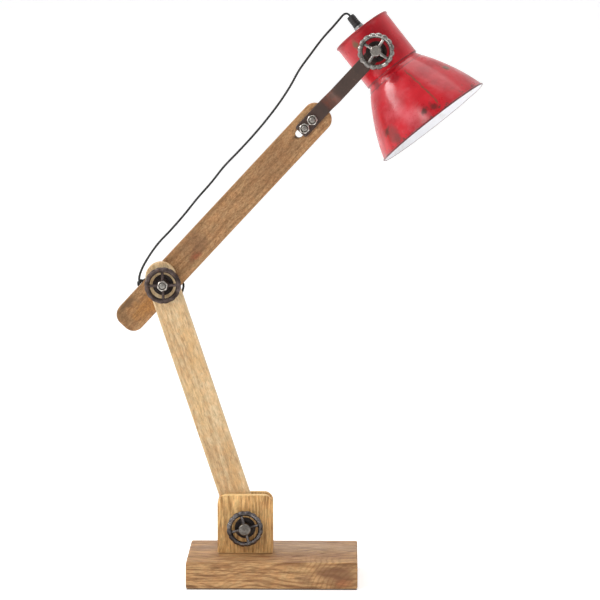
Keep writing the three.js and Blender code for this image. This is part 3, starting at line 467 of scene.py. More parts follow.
def softened(profile, radius):
    """A closed profile with its corners rounded, apart from those on the axis."""
    steps = 3
    result = []
    for index, corner in enumerate(profile):
        corner = Vector(corner)
        if corner.x < ON_AXIS:
            result.append(corner)
            continue
        to_before = Vector(profile[index - 1]) - corner
        to_after = Vector(profile[(index + 1) % len(profile)]) - corner
        start = corner + to_before.normalized() * min(radius, 0.45 * to_before.length)
        end = corner + to_after.normalized() * min(radius, 0.45 * to_after.length)
        for step in range(steps + 1):
            t = step / steps
            result.append(start.lerp(corner, t).lerp(corner.lerp(end, t), t))
    return result


def lathe(name, profile, place, segments=72, wobble=0):
    """A closed profile of (radius, height) points turned about the z axis."""
    vertices = []
    for radius, height in profile:
        for angle in round_angles(segments):
            spot = Vector((*polar(2, angle), height / 40))
            around = radius + wobble * noise.noise(spot) * min(radius / 40, 1)
            vertices.append((*polar(around, angle), height))
    on_axis = [radius < ON_AXIS for radius, height in profile]
    faces = [face for face in quads(len(profile), segments, closed=True)
             if not (on_axis[face[0] // segments] and on_axis[face[2] // segments])]
    return tidy_mesh(make_object(name, vertices, faces, place))


def arc(centre_x, centre_z, radius, start, end, apart=9):
    """Points on an arc from one angle to another, about so many degrees apart."""
    steps = max(3, round(abs(end - start) / apart))
    points = []
    for step in range(steps + 1):
        x, z = polar(radius, math.radians(start + (end - start) * step / steps))
        points.append((centre_x + x, centre_z + z))
    return points


def rounded_outline(left, right, bottom, top, foot_corner, top_corner):
    return (
        arc(right - foot_corner, bottom + foot_corner, foot_corner, -90, 0)
        + arc(right - top_corner, top - top_corner, top_corner, 0, 90)
        + arc(left + top_corner, top - top_corner, top_corner, 90, 180)
        + arc(left + foot_corner, bottom + foot_corner, foot_corner, 180, 270)
    )


def round_ended(start, end, line, half):
    """A bar's outline: half circles about its two ends, joined by straight sides."""
    return arc(start, line, half, 90, 270) + arc(end, line, half, -90, 90)


def walked(outline, spacing):
    """The closed outline with points added along its long sides."""
    result = []
    for index, point in enumerate(outline):
        start, end = Vector(point), Vector(outline[(index + 1) % len(outline)])
        pieces = max(1, round((end - start).length / spacing))
        result += [start.lerp(end, piece / pieces) for piece in range(pieces)]
    return [p for i, p in enumerate(result) if (p - result[i - 1]).length > 0.01]


def board(name, outline, near, far, place, edge=WOOD_EDGE):
    """A sawn board: its outline in x and z, its thickness along y, its edges unevenly worn."""
    points = walked(outline, spacing=3)
    inwards = []
    for index, point in enumerate(points):
        along = points[(index + 1) % len(points)] - points[index - 1]
        inwards.append(Vector((-along.y, along.x)).normalized())
    depth = edge * 0.29  # where a quarter round stands at half its turn
    widest = edge + 0.4
    levels = [(widest, 0), (edge, 0), (depth, depth), (0, edge)]
    levels = [(inset, near + in_from, 1) for inset, in_from in levels] + [
        (inset, far - in_from, -1) for inset, in_from in reversed(levels)
    ]
    rings = []
    for inset, y, side in levels:
        ring = []
        for point, inward in zip(points, inwards):
            spot = Vector((point.x, side * 30, point.y)) / 14
            worn = 1 + 0.3 * noise.noise(spot) + 0.15 * noise.noise(spot * 4)
            x, z = point + inward * min(inset * worn, widest)
            ring.append((x, y, z))
        rings.append(ring)
    return skin(name, rings, place)


def cut(obj, *tools):
    """Takes the tools away from the object, and then discards them."""
    for tool in tools:
        modifier = obj.modifiers.new("cut", "BOOLEAN")
        modifier.object = tool
        modifier.solver = "EXACT"
    bpy.context.view_layer.update()
    settle(obj)
    for tool in tools:
        bpy.data.objects.remove(tool)


def drill(near, far, place, x=0, z=0):
    """A cutting tool for a bolt hole: a round bar from depth near to depth far along y."""
    profile = [(0, -near), (BOLT_HOLE, -near), (BOLT_HOLE, -far), (0, -far)]
    return lathe("drill", profile, facing_front(place, x, z), 32)


def hexagon(name, place, back, front, hole=0):
    """A nut or bolt head along z, whose front corners are turned off in a cone."""
    inscribed = HEX["flats"] / 2
    crown = inscribed * 0.94  # radius of the flat circle on the front
    slope = math.tan(math.radians(30))
    inner = max(hole, 0.01)
    bevel = 1.5 if hole else 0
    half_flat = math.pi / 6  # half of the turn from one flat to the next
    per_flat = 10

    def ring(radius_at, height_at):
        points = []
        for angle in round_angles(6 * per_flat):
            from_flat = (angle + half_flat) % (2 * half_flat) - half_flat
            radius = radius_at(inscribed / math.cos(from_flat))
            points.append((*polar(radius, angle), height_at(radius)))
        return points

    rings = [
        ring(lambda side: inner, lambda radius: back),
        ring(lambda side: side - 0.4, lambda radius: back),
        ring(lambda side: side, lambda radius: back + 0.4),
        ring(lambda side: side, lambda radius: front - max(0, radius - crown) * slope - 0.15),
        ring(lambda side: min(side - 0.15, crown), lambda radius: front),
        ring(lambda side: inner + bevel, lambda radius: front),
        ring(lambda side: inner, lambda radius: front - bevel),
    ]
    return smooth(skin(name, rings, place, closed=True), 25)


# -------- material building


def srgb(red, green, blue):
    """A screen colour, 0 to 255, as the linear colour that a shader takes."""
    linear = [((c / 255 + 0.055) / 1.055) ** 2.4 if c > 10 else c / 255 / 12.92
              for c in (red, green, blue)]
    return (*linear, 1)


class Shader:
    """A material's nodes, which end in one Principled surface. Its colour is laid on in coats."""

    def __init__(self, name, **sockets):
        self.material = bpy.data.materials.new(name)
        self.material.use_nodes = True
        self.tree = self.material.node_tree
        self.surface = self.tree.nodes["Principled BSDF"]
        self.set(**sockets)
        self.place = self.add("TexCoord", {}, "Object")
        self.colour = None  # the coats laid on so far

    def set(self, **sockets):
        """Surface values by socket name, with _ for a space."""
        for name, value in sockets.items():
            self.join(value, self.surface.inputs[name.replace("_", " ")])

    def join(self, value, socket):
        if isinstance(value, bpy.types.NodeSocket):
            self.tree.links.new(value, socket)
        else:
            socket.default_value = value

    def add(self, kind, inputs, output=0, **settings):
        node = self.tree.nodes.new("ShaderNode" + kind)
        for name, value in settings.items():
            setattr(node, name, value)
        for socket, value in inputs.items():
            self.join(value, node.inputs[socket])
        return node.outputs[output]

    def math(self, operation, a, b=0.0):
        return self.add("Math", {0: a, 1: b}, operation=operation)

    def times(self, product, *factors):
        for factor in factors:
            product = self.math("MULTIPLY", product, factor)
        return product

    def plus(self, a, b):
        return self.math("ADD", a, b)

    def minus(self, a, b):
        return self.math("SUBTRACT", a, b)

    def vector(self, operation, a, b):
        return self.add("VectorMath", {0: a, 1: b}, operation=operation)

    def axis(self, name):
        """How far along this axis of the object, in metres."""
        return self.add("SeparateXYZ", {0: self.place}, "xyz".index(name))

    def apart(self, a, b):
        return self.math("ABSOLUTE", self.minus(a, b))

    def measured_from(self, centre):
        """The place measured from a point that is given in millimetres."""
        return self.vector("SUBTRACT", self.place, tuple(c * MM for c in centre))

    def noise(self, scale, vector=None, detail=3, roughness=0.55, output=0):
        inputs = {
            "Vector": vector or self.place,
            "Scale": scale,
            "Detail": detail,
            "Roughness": roughness,
        }
        return self.add("TexNoise", inputs, output)

    def ring_wave(self, vector, axis, scale, distortion, detail, detail_scale):
        inputs = {"Vector": vector, "Scale": scale, "Distortion": distortion,
                  "Detail": detail, "Detail Scale": detail_scale}
        return self.add("TexWave", inputs, "Fac", wave_type="RINGS", rings_direction=axis.upper())

    def ramp(self, value, low, high, bottom=0.0, top=1.0):
        """Bottom up to low, top from high, and smooth between them."""
        inputs = {0: value, 1: low, 2: high, 3: bottom, 4: top}
        return self.add("MapRange", inputs, interpolation_type="SMOOTHSTEP")

    def mix(self, factor, a, b, mode="MIX"):
        return self.add("Mix", {0: factor, 6: a, 7: b}, 2, data_type="RGBA", blend_type=mode)

    def blend(self, factor, light, dark):
        """The first coat: two screen colours, mixed."""
        self.colour = self.mix(factor, srgb(*light), srgb(*dark))

    def coat(self, tone, *masks):
        """A further coat of a screen colour, where all of its masks let it show."""
        self.colour = self.mix(self.times(*masks), self.colour, srgb(*tone))

    def near(self, centre, radius, stretch=(1, 1, 1)):
        """1 at a point and 0 outside a soft-edged blob round it, with a ragged outline."""
        offset = self.vector("DIVIDE", self.measured_from(centre), stretch)
        distance = self.add("VectorMath", {0: offset}, "Value", operation="LENGTH")
        ragged = self.noise(0.9 / (radius * MM), detail=4)
        distance = self.times(distance, self.ramp(ragged, 0.3, 0.7, 1.5, 0.6))
        return self.ramp(distance, 0.25 * radius * MM, radius * MM, 1, 0)

    def bump(self, height, distance, strength, under=None):
        inputs = {"Height": height, "Distance": distance, "Strength": strength}
        if under:
            inputs["Normal"] = under
        return self.add("Bump", inputs)

    def finished(self, normal=None, **sockets):
        if normal:
            self.set(Normal=normal)
        self.set(Base_Color=self.colour, **sockets)
        return self.material


# -------- wood


def wood(name, light, dark, grain, pith, seed, stains_and_shade, edge=None, ring_width=3.2,
         contrast=0.8, figure=30, streaky=0.6, fleck_length=6, flecked=0.9, edge_shift=18,
         knots=()):
    """Waxed mango wood. Grain is the axis it runs along, pith a point (mm) on the tree's middle.

    stains_and_shade are (place in mm, radius, colour, strength, stretch), for stained spots and for
    painted shade in a slot. Knots are (middle of the arcs, middle of the patch where they show, its
    radius, strength). Edge is (axis, middle, half width) of the faces whose rounded corners are
    lighter by edge_shift, a painted highlight, or darker if it is negative. Figure is how far the
    rings wander, in mm. Streaky is how strong the long dark lines are, flecked how strong the short
    flecks are, and fleck_length how many times longer they are than wide.
    """
    shader = Shader(name, Specular_IOR_Level=0.35)
    seeded = shader.vector("ADD", shader.place, tuple(seed * n for n in (1.7, 2.3, 3.1)))

    def stretched(along):
        """The place with the grain's direction shortened, which draws every pattern out."""
        scale = [along if axis == grain else 1 for axis in "xyz"]
        return shader.vector("MULTIPLY", seeded, tuple(scale))

    slow = stretched(0.22)
    wander = shader.noise(16, slow, 3, output="Color")
    wander = shader.vector("SUBTRACT", wander, (0.5, 0.5, 0.5))
    wander = shader.vector("MULTIPLY", wander, (figure * MM, figure * MM, figure * MM))
    centred = shader.vector("ADD", shader.measured_from(pith), wander)
    rings = shader.ring_wave(centred, grain, WAVE_RINGS / (ring_width * MM), 1.2, 3, 0.6)
    rings = shader.ramp(rings, 0.35, 1.0)

    fine = stretched(1 / fleck_length)
    fibres = shader.noise(400, fine, 4, 0.8)
    streaks = shader.noise(260, stretched(0.10), 5, 0.65)
    pores = shader.ramp(shader.noise(430, fine, 2, 0.5), 0.57, 0.65)
    cloud = shader.noise(22, slow, 5, 0.62)
    mottle = shader.noise(75, seeded, 4, 0.65)

    share = shader.times(rings, 0.42 * contrast)
    share = shader.plus(share, shader.ramp(cloud, 0.36, 0.68, 0, 0.50 * contrast))
    share = shader.plus(share, shader.ramp(streaks, 0.42, 0.70, 0, 0.7 * streaky * contrast))
    shader.blend(shader.add("Clamp", {0: share}), light, dark)
    tint = shader.mix(shader.ramp(mottle, 0.35, 0.65), srgb(255, 226, 196), srgb(246, 244, 240))
    shader.colour = shader.mix(0.5, shader.colour, tint, "MULTIPLY")
    soft = shader.ramp(fibres, 0.25, 0.75, 0.6, 1)
    for place, radius, mark_tone, strength, stretch_by in stains_and_shade:
        shader.coat(mark_tone, shader.near(place, radius, stretch_by), soft, strength)
    for centre, spot, reach, strength in knots:
        arcs = shader.ring_wave(shader.measured_from(centre), "y", 46, 6, 4, 0.7)
        shader.coat(dark, shader.near(spot, reach), shader.ramp(arcs, 0.45, 0.95), strength)
    fleck = shader.mix(shader.ramp(fibres, 0.34, 0.66), (0.62, 0.57, 0.50, 1), (1.2, 1.2, 1.2, 1))
    shader.colour = shader.mix(flecked, shader.colour, fleck, "MULTIPLY")
    shader.coat((112, 76, 42), pores, 0.5 * flecked)
    shader.coat([0.8 * c for c in dark], shader.ramp(streaks, 0.56, 0.64, 0, streaky * contrast))
    if edge:
        axis, middle, half = edge
        away = shader.apart(shader.axis(axis), middle * MM)
        worn = shader.ramp(away, (half - 2.6) * MM, (half - 0.4) * MM)
        broken = shader.ramp(streaks, 0.3, 0.7, 0.2, 0.7)
        # a positive edge_shift paints a highlight on the rounded corners; a negative one darkens them
        shader.coat([min(255, c + edge_shift) for c in light], worn, broken)

    height = shader.minus(fibres, shader.times(pores, 0.9))
    height = shader.plus(height, shader.times(rings, 0.35))
    normal = shader.bump(height, 0.00028, 0.55)
    normal = shader.bump(cloud, 0.0012, 0.4, normal)
    return shader.finished(normal, Roughness=shader.ramp(mottle, 0.3, 0.7, 0.5, 0.68))


# -------- metal


def metal(name, bright, dull, rough, rust=0.0, grime_and_shade=0.6, pits=1.0):
    """Cast or forged metal: edges bright from wear and a painted highlight, hollows darkened by soiling and
    painted shade, with pits and some rust.
    """
    shader = Shader(name)
    patches = shader.noise(75, detail=5)
    grain = shader.noise(1100, detail=3)
    cast = shader.noise(330, detail=4)
    edges = shader.add("NewGeometry", {}, "Pointiness")
    # convex edges take the bright colour: wear, and a painted highlight
    wear_and_highlight = shader.ramp(edges, 0.49, 0.56)
    share = shader.times(shader.ramp(patches, 0.35, 0.68), shader.minus(1.0, wear_and_highlight))
    shader.blend(share, bright, dull)
    shader.coat(dull, shader.ramp(cast, 0.52, 0.7, 0, 0.45))
    # concave hollows go dark: soiling, and painted shade
    shader.coat((34, 28, 25), shader.ramp(edges, 0.40, 0.485, grime_and_shade, 0))
    rusty = shader.ramp(shader.noise(120, detail=6, roughness=0.68), 0.56, 0.68, 0, rust)
    rust_tone = shader.mix(grain, srgb(74, 38, 24), srgb(134, 76, 46))
    shader.colour = shader.mix(rusty, shader.colour, rust_tone)
    roughness = shader.ramp(patches, 0.3, 0.7, *rough)
    normal = shader.bump(cast, 0.0009, 0.6 * pits)
    normal = shader.bump(grain, 0.00015, 0.5 * pits, normal)
    return shader.finished(normal, Metallic=shader.minus(1.0, shader.times(rusty, 0.8)),
                           Roughness=shader.plus(roughness, shader.times(rusty, 0.3)))


def strap_iron():
    """Blackened flat iron, browned all over and rusty where it was bent."""
    shader = Shader("blackened_iron", Metallic=0.15, Specular_IOR_Level=0.35)
    patches = shader.noise(34, detail=6, roughness=0.6)
    shader.blend(shader.ramp(patches, 0.35, 0.68), (36, 24, 22), (56, 38, 33))
    rusty_at = (STRAP_JOGGLE[0] + STRAP_JOGGLE[1]) / 2 + 2
    bend = shader.ramp(shader.apart(shader.axis("x"), rusty_at * MM), 0.003, 0.019, 0.85, 0)
    worn = shader.ramp(shader.noise(60, detail=5), 0.38, 0.6, 0.25, 1)
    shader.coat((112, 48, 28), bend, worn)
    spots = shader.noise(210, detail=5, roughness=0.7)
    shader.coat((92, 70, 60), shader.ramp(spots, 0.60, 0.68, 0, 0.7))
    edges = shader.add("NewGeometry", {}, "Pointiness")
    shader.coat((112, 92, 82), shader.ramp(edges, 0.52, 0.6, 0, 0.5))
    normal = shader.bump(shader.noise(150, detail=5), 0.0008, 0.4)
    normal = shader.bump(shader.noise(800, detail=4), 0.0002, 0.5, normal)
    return shader.finished(normal, Roughness=shader.ramp(patches, 0.3, 0.7, 0.42, 0.62))


# -------- paint

# Marks where the paint has worn through, and two pale pink patches of painted highlight: the angle
# round the shade, the distance below the cap's top, the blob's radius, its colour and its strength.
PAINT_WEAR_AND_HIGHLIGHTS = [
    # painted highlight: two pale pink patches on the lower side, towards the mouth
    (102, 160, 30, (206, 106, 114), 0.45),
    (110, 140, 26, (206, 94, 102), 0.4),
    (115, 17, 10, (104, 74, 46), 1.0),
    (88, 167, 8, (78, 28, 24), 0.95),
    (79, 171, 10, (92, 30, 28), 0.85),
    (25, 131, 12, (92, 62, 36), 1.0),
    (137, 155, 10, (84, 32, 28), 0.95),
    (127, 174, 13, (98, 36, 34), 0.85),
    (130, 164, 21, (122, 38, 38), 0.8),
    (131, 86, 12, (110, 22, 30), 0.85),
    (93, 98, 13, (142, 22, 34), 0.7),
    (60, 140, 10, (150, 28, 38), 0.6),
    (-60, 120, 12, (84, 40, 34), 0.8),
    (-130, 165, 14, (92, 42, 36), 0.8),
    (-25, 40, 10, (110, 66, 50), 0.8),
    (-95, 60, 8, (88, 36, 30), 0.8),
    (180, 140, 11, (96, 38, 32), 0.8),
]
SEAM = {"angle": 72.5, "start": 93, "end": 174}
GROOVE = 89.5  # the crease below the collar


def shade_radius(distance):
    """The shade's and the cap's outer radius at this distance below the cap's top."""
    if distance < CAP["length"]:
        return CAP["radius"]
    rim_start = SHADE_REACH["mouth"] - 3
    share = (distance - SHADE_REACH["neck_end"]) / (rim_start - SHADE_REACH["neck_end"])
    share = min(max(share, 0), 1)
    spread = SHADE["mouth"] - SHADE["neck"]
    return SHADE["neck"] + spread * share * (1.43 - 0.43 * share)


def red_paint():
    """Distressed red paint: rubbed, chipped at the rims, worn through in spots and at a seam, with painted
    highlight in two pale patches and painted shade along the crease and the cap's lower edge.
    """
    shader = Shader("distressed_red_paint", Coat_Roughness=0.16, Specular_IOR_Level=0.22)
    large = shader.noise(16, detail=4)
    medium = shader.noise(48, detail=6, roughness=0.62)
    fine = shader.noise(420, detail=4)
    depth = shader.axis("z")
    shader.blend(shader.ramp(large, 0.35, 0.65), (190, 20, 34), (158, 13, 27))
    shader.coat((192, 70, 80), shader.ramp(medium, 0.50, 0.74, 0, 0.4))
    stained = shader.noise(30, detail=6, roughness=0.66)
    shader.coat((126, 26, 32), shader.ramp(stained, 0.56, 0.72, 0, 0.55))

    # chips are small and crowd towards the rims
    rim = shader.ramp(depth, 0.165, 0.184, 0, 0.13)
    top = shader.ramp(depth, 0.0005, 0.006, 0.12, 0)
    crowd = shader.plus(shader.noise(150, detail=5, roughness=0.7), shader.plus(rim, top))
    chips = shader.ramp(crowd, 0.67, 0.71)
    shader.coat((86, 44, 36), chips, 0.85)

    broken = shader.ramp(shader.noise(420, detail=3), 0.30, 0.45, 0.55, 1)
    # worn spots, and the pale patches of painted highlight
    for degrees, reach, radius, mark_tone, strength in PAINT_WEAR_AND_HIGHLIGHTS:
        mark = (*polar(shade_radius(reach), math.radians(degrees)), reach)
        shader.coat(mark_tone, shader.near(mark, radius), broken, strength)

    angle = shader.math("ARCTAN2", shader.axis("y"), shader.axis("x"))
    drift = shader.times(shader.minus(medium, 0.5), 0.16)
    from_seam = shader.plus(shader.minus(angle, math.radians(SEAM["angle"])), drift)
    seam = shader.ramp(shader.math("ABSOLUTE", from_seam), 0.009, 0.024, 1, 0)
    start, end = SEAM["start"] * MM, SEAM["end"] * MM
    fade = 0.006
    begun = shader.ramp(depth, start, start + fade)
    ended = shader.ramp(depth, end - fade, end, 1, 0)
    shader.coat((112, 62, 44), seam, begun, ended, shader.ramp(fine, 0.3, 0.55, 0.35, 0.9))

    # rolled rims have lost their paint or are soiled; the crease and the cap's lower edge get painted shade
    rolled = shader.ramp(depth, (SHADE_REACH["mouth"] - 4) * MM, (SHADE_REACH["mouth"] - 1) * MM)
    shader.coat((82, 32, 36), rolled, shader.ramp(medium, 0.3, 0.6, 0.7, 1))
    shader.coat((120, 34, 38), shader.ramp(depth, 0.002, 0.005, 0.55, 0))
    # painted shade, dark red, in the crease and along the cap's lower edge
    for line, width in ((GROOVE, 1.6), (CAP["length"], 1.5)):
        crease_shade = shader.apart(depth, line * MM)
        crease_shade = shader.ramp(crease_shade, 0.2 * width * MM, width * MM, 0.75, 0)
        shader.coat((104, 24, 32), crease_shade, shader.ramp(medium, 0.3, 0.6, 0.4, 1))

    normal = shader.bump(shader.noise(20, detail=3), 0.005, 0.45)
    normal = shader.bump(medium, 0.0006, 0.4, normal)
    normal = shader.bump(shader.minus(fine, chips), 0.00014, 0.5, normal)
    return shader.finished(normal, Roughness=shader.ramp(medium, 0.3, 0.72, 0.26, 0.46),
                           Coat_Weight=shader.ramp(large, 0.35, 0.7, 0.46, 0.22))


def white_enamel():
    shader = Shader("white_enamel", Roughness=0.35, Coat_Weight=0.3, Coat_Roughness=0.2)
    dust = shader.ramp(shader.noise(40, detail=5), 0.5, 0.75)
    shader.blend(dust, (238, 238, 242), (224, 222, 220))
    shader.coat((180, 172, 160), shader.ramp(shader.noise(520, detail=2), 0.70, 0.74, 0, 0.5))
    return shader.finished(shader.bump(shader.noise(300, detail=3), 0.0002, 0.4))


# -------- plastic, cord, felt and glass


def moulded_plastic(name, tone, rough=0.42):
    shader = Shader(name, Specular_IOR_Level=0.45)
    scuffs = shader.ramp(shader.noise(160, detail=6, roughness=0.7), 0.55, 0.72)
    shader.blend(shader.times(scuffs, 0.5), tone, [c + 26 for c in tone])
    return shader.finished(shader.bump(shader.noise(1500, detail=2), 0.00012, 0.5),
                           Roughness=shader.ramp(scuffs, 0, 1, rough, rough + 0.2))


def cord_material():
    """Black rubbery cable sheath with faint dust and handling marks."""
    shader = Shader("black_cable_sheath", Specular_IOR_Level=0.4)
    dust = shader.ramp(shader.noise(90, detail=5), 0.45, 0.75, 0, 0.6)
    shader.blend(dust, (13, 13, 15), (36, 35, 35))
    return shader.finished(shader.bump(shader.noise(900, detail=3), 0.00015, 0.5),
                           Roughness=shader.ramp(shader.noise(200, detail=3), 0.3, 0.7, 0.38, 0.6))


def felt_material():
    shader = Shader("brown_felt", Roughness=0.95, Sheen_Weight=0.6, Sheen_Roughness=0.5)
    fibres = shader.noise(1400, detail=5, roughness=0.75)
    shader.blend(fibres, (84, 68, 54), (128, 108, 88))
    return shader.finished(shader.bump(fibres, 0.0006, 0.9))


def frosted_glass():
    shader = Shader("frosted_glass", Transmission_Weight=0.25, Subsurface_Weight=0.3,
                    Coat_Weight=0.4, Coat_Roughness=0.1)
    cloud = shader.noise(60, detail=3)
    shader.blend(cloud, (250, 248, 242), (238, 236, 230))
    return shader.finished(shader.bump(shader.noise(700, detail=3), 0.0001, 0.3),
                           Roughness=shader.ramp(cloud, 0.3, 0.7, 0.3, 0.42))


# -------- finishes

# Stained spots, and painted shade in the upper arm's slot: (place, radius, colour, strength,
# stretch), in each board's own frame.
UPPER_STAINS_AND_SLOT_SHADE = [
    ((67, 10.2, -7.5), 9, (150, 80, 50), 1.0, (1.3, 1, 1)),
    ((78, 10.2, -2), 13, (112, 76, 48), 0.65, (1.5, 1, 1)),
    ((57, 10.2, -8), 9, (120, 82, 52), 0.6, (0.8, 1, 1)),
    ((84, 10.2, 8), 16, (126, 92, 64), 0.6, (2.0, 1, 1)),
    ((-60, 10.2, 20), 12, (84, 62, 38), 0.85, (2.2, 1, 0.8)),
    ((-82, 10.2, 12), 15, (122, 92, 58), 0.8, (1, 1, 1.6)),
    ((-44, 10.2, -6), 26, (170, 116, 52), 0.75, (1.4, 1, 0.8)),
    ((250, 10.2, 4), 22, (134, 98, 66), 0.45, (2.2, 1, 1)),
    ((300, 10.2, -4), 10, (128, 94, 62), 0.5, (1.5, 1, 1)),
    ((352, 10.2, -14), 9, (150, 98, 58), 0.5, (1.2, 1, 1)),
    # painted shade: near-black on the slot's end and into its walls
    ((311.5, 14, 5), 8, (36, 26, 20), 1.0, (0.8, 3, 0.9)),
]
LOWER_STAINS = [
    ((300, -8, -10), 22, (206, 160, 100), 0.6, (3, 1, 0.6)),
    ((210, -8, 8), 18, (226, 192, 140), 0.6, (3, 1, 0.7)),
    ((80, -8, -12), 20, (196, 146, 84), 0.6, (2.5, 1, 0.6)),
    ((130, -8, 14), 14, (176, 138, 96), 0.5, (2.5, 1, 0.5)),
]
BASE_STAINS = [
    ((102, -94, 27), 30, (112, 70, 48), 0.9, (1.5, 1, 0.75)),
    ((112, -94, 12), 12, (176, 104, 64), 0.6, (1.6, 1, 0.7)),
    ((52, -94, 18), 14, (136, 98, 72), 0.5, (1.4, 1, 0.8)),
    ((-100, -94, 22), 14, (140, 98, 64), 0.5, (2.4, 1, 0.5)),
    ((-20, -94, 14), 12, (132, 88, 56), 0.4, (3, 1, 0.4)),
    ((60, 40, 43.5), 60, (158, 134, 112), 0.55, (1.6, 1, 1)),
    ((-105, 30, 43.5), 30, (136, 112, 88), 0.6, (1.4, 1, 1)),
    ((40, -60, 43.5), 34, (178, 134, 92), 0.4, (2, 0.8, 1)),
]
BASE_KNOTS = [
    ((168, -94, -34), (88, -94, 18), 60, 0.42),
    ((-20, -94, -90), (-50, -94, 26), 70, 0.3),
]
CHEEK_STAINS = [
    ((-75, -19.9, 112), 10, (150, 104, 58), 0.6, (0.5, 1, 2.0)),
    ((-12, -19.9, 64), 9, (140, 92, 50), 0.6, (0.5, 1, 2.2)),
    ((-20, -19.9, 118), 10, (160, 112, 66), 0.5, (0.5, 1, 1.6)),
    ((-46, -19.9, 50), 9, (196, 150, 100), 0.5, (1.4, 1, 0.8)),
]


def make_looks():
    """Every finish by the name that pieces ask for it."""
    arm_edge = LOWER_ARM["width"] / 2
    cheek_middle = (CHEEK["foot"] + CHEEK["top"]) / 2
    cheek_edge = ("z", cheek_middle, CHEEK["top"] - cheek_middle)
    return {
        "base_wood": wood(
            "base_wood", (202, 164, 116), (122, 82, 48), "x", (60, -60, -46), 1.0, BASE_STAINS,
            ring_width=9, contrast=1.0, figure=130, streaky=0.45, fleck_length=7, flecked=0.65,
            knots=BASE_KNOTS),
        # the cheeks' rounded top and foot corners are lightened as a painted highlight
        "cheek_wood": wood(
            "cheek_wood", (244, 206, 144), (178, 130, 74), "z", (-70, 30, 0), 2.0, CHEEK_STAINS,
            cheek_edge, contrast=0.95, flecked=0.6),
        "lower_arm_wood": wood(
            "lower_arm_wood", (224, 201, 162), (184, 150, 106), "x", (0, 34, -16), 3.0,
            LOWER_STAINS, ("z", 0, arm_edge), ring_width=5.5, streaky=0.35, fleck_length=4,
            flecked=0.55, edge_shift=-14),
        "upper_arm_wood": wood(
            "upper_arm_wood", (188, 150, 108), (128, 94, 60), "x", (0, 52, 22), 4.0,
            UPPER_STAINS_AND_SLOT_SHADE, ("z", UPPER_ARM["line"], arm_edge), ring_width=6, streaky=0.2,
            fleck_length=2.4, edge_shift=-30),
        "red_paint": red_paint(),
        "white": white_enamel(),
        "gunmetal": metal("gunmetal", (122, 117, 116), (36, 32, 32), (0.2, 0.42), 0.3, 1, 1.5),
        "dull_gunmetal": metal(
            "browned_iron", (100, 88, 84), (44, 36, 34), (0.34, 0.6), 0.4, 1, 1.4),
        "pewter": metal("pewter", (172, 168, 163), (62, 57, 54), (0.2, 0.38), grime_and_shade=1),
        "bright_pewter": metal(
            "worn_nut_metal", (140, 135, 128), (72, 66, 61), (0.26, 0.46), 0.15),
        "nut_steel": metal(
            "worn_plated_nut", (200, 194, 186), (80, 74, 69), (0.22, 0.4), 0.3, 1),
        "bolt_steel": metal(
            "worn_bolt_end", (150, 146, 140), (84, 80, 76), (0.34, 0.5), 0.3, 1),
        "steel": metal(
            "zinc_plated_steel", (164, 164, 164), (112, 112, 113), (0.25, 0.42), 0, 0.8, 0.5),
        # near-black iron for the front washers, which paints the shade behind the handwheels
        "dark_iron_painted_shade": metal("dark_iron_painted_shade", (66, 60, 58), (34, 30, 28), (0.5, 0.7), 0.25),
        "brass": metal("brass", (196, 160, 98), (146, 112, 62), (0.28, 0.45), pits=0.4),
        "rusted_iron": strap_iron(),
        "black_plastic": moulded_plastic("black_plastic", (26, 25, 26)),
        "rocker_plastic": moulded_plastic("rocker_plastic", (40, 39, 40), 0.32),
        "black_cord": cord_material(),
        "felt": felt_material(),
        "frosted_glass": frosted_glass(),
    }


# -------- wooden pieces


def add_base():
    half_length, half_depth = BASE["length"] / 2, BASE["depth"] / 2
    outline = rounded_outline(-half_length, half_length, BASE["bottom"], BASE["top"],
                              BASE["corner"], BASE["corner"])
    block = board("block", outline, -half_depth, half_depth, WORLD, BASE["edge"])
    dress(block, "base_wood", "base_block")

    half = CHEEK["width"] / 2
    middle = pivots["base_tilt"].x / MM
    outline = rounded_outline(
        middle - half, middle + half, CHEEK["foot"], CHEEK["top"], *CHEEK_CORNERS)
    depths = {"front": (-CHEEK["far"], -CHEEK["near"]), "rear": (CHEEK["near"], CHEEK["far"])}
    for side, (near, far) in depths.items():
        cheek = board("cheek_board_" + side, outline, near, far, WORLD)
        cut(cheek, drill(near - PAST, far + PAST, BASE_PIVOT))
        dress(cheek, "cheek_wood", "cheek_" + side)


def add_arms():
    half = LOWER_ARM["width"] / 2
    pivots_apart, overhang = LOWER_ARM["pivots"], LOWER_ARM["overhang"]
    near, far = -LOWER_ARM["thickness"] / 2, LOWER_ARM["thickness"] / 2
    outline = round_ended(-overhang, pivots_apart + overhang, 0, half)
    lower = board("arm_lower", outline, near, far, LOWER)
    cut(lower, *[drill(near - PAST, far + PAST, LOWER, x) for x in (0, pivots_apart)])
    dress(lower, "lower_arm_wood", "lower_arm")

    near, far = UPPER_ARM_FACES
    bottom = UPPER_ARM["line"] - UPPER_ARM["width"] / 2
    top = bottom + UPPER_ARM["width"]
    corner = UPPER_ARM["corner"]
    outline = rounded_outline(-UPPER_ARM["tail"], UPPER_ARM["reach"], bottom, top, corner, corner)
    upper = board("arm_upper", outline, near, far, UPPER)
    slot = round_ended(ARM_SLOT["start"], ARM_SLOT["end"], STRAP["line"], ARM_SLOT["half"])
    slot_tool = board("slot", slot, near - 5, far + 5, UPPER, 0.5)
    cut(upper, drill(near - PAST, far + PAST, UPPER), slot_tool)
    dress(upper, "upper_arm_wood", "upper_arm")


# -------- strap


def strap_bend(along):
    """How much of the joggle, from 0 to 1, lies before this distance along the arm."""
    first, last = STRAP_JOGGLE
    return eased_step((along - first) / (last - first))


def strap_middle(along):
    low, high = STRAP_MIDDLES
    return low + (high - low) * strap_bend(along)


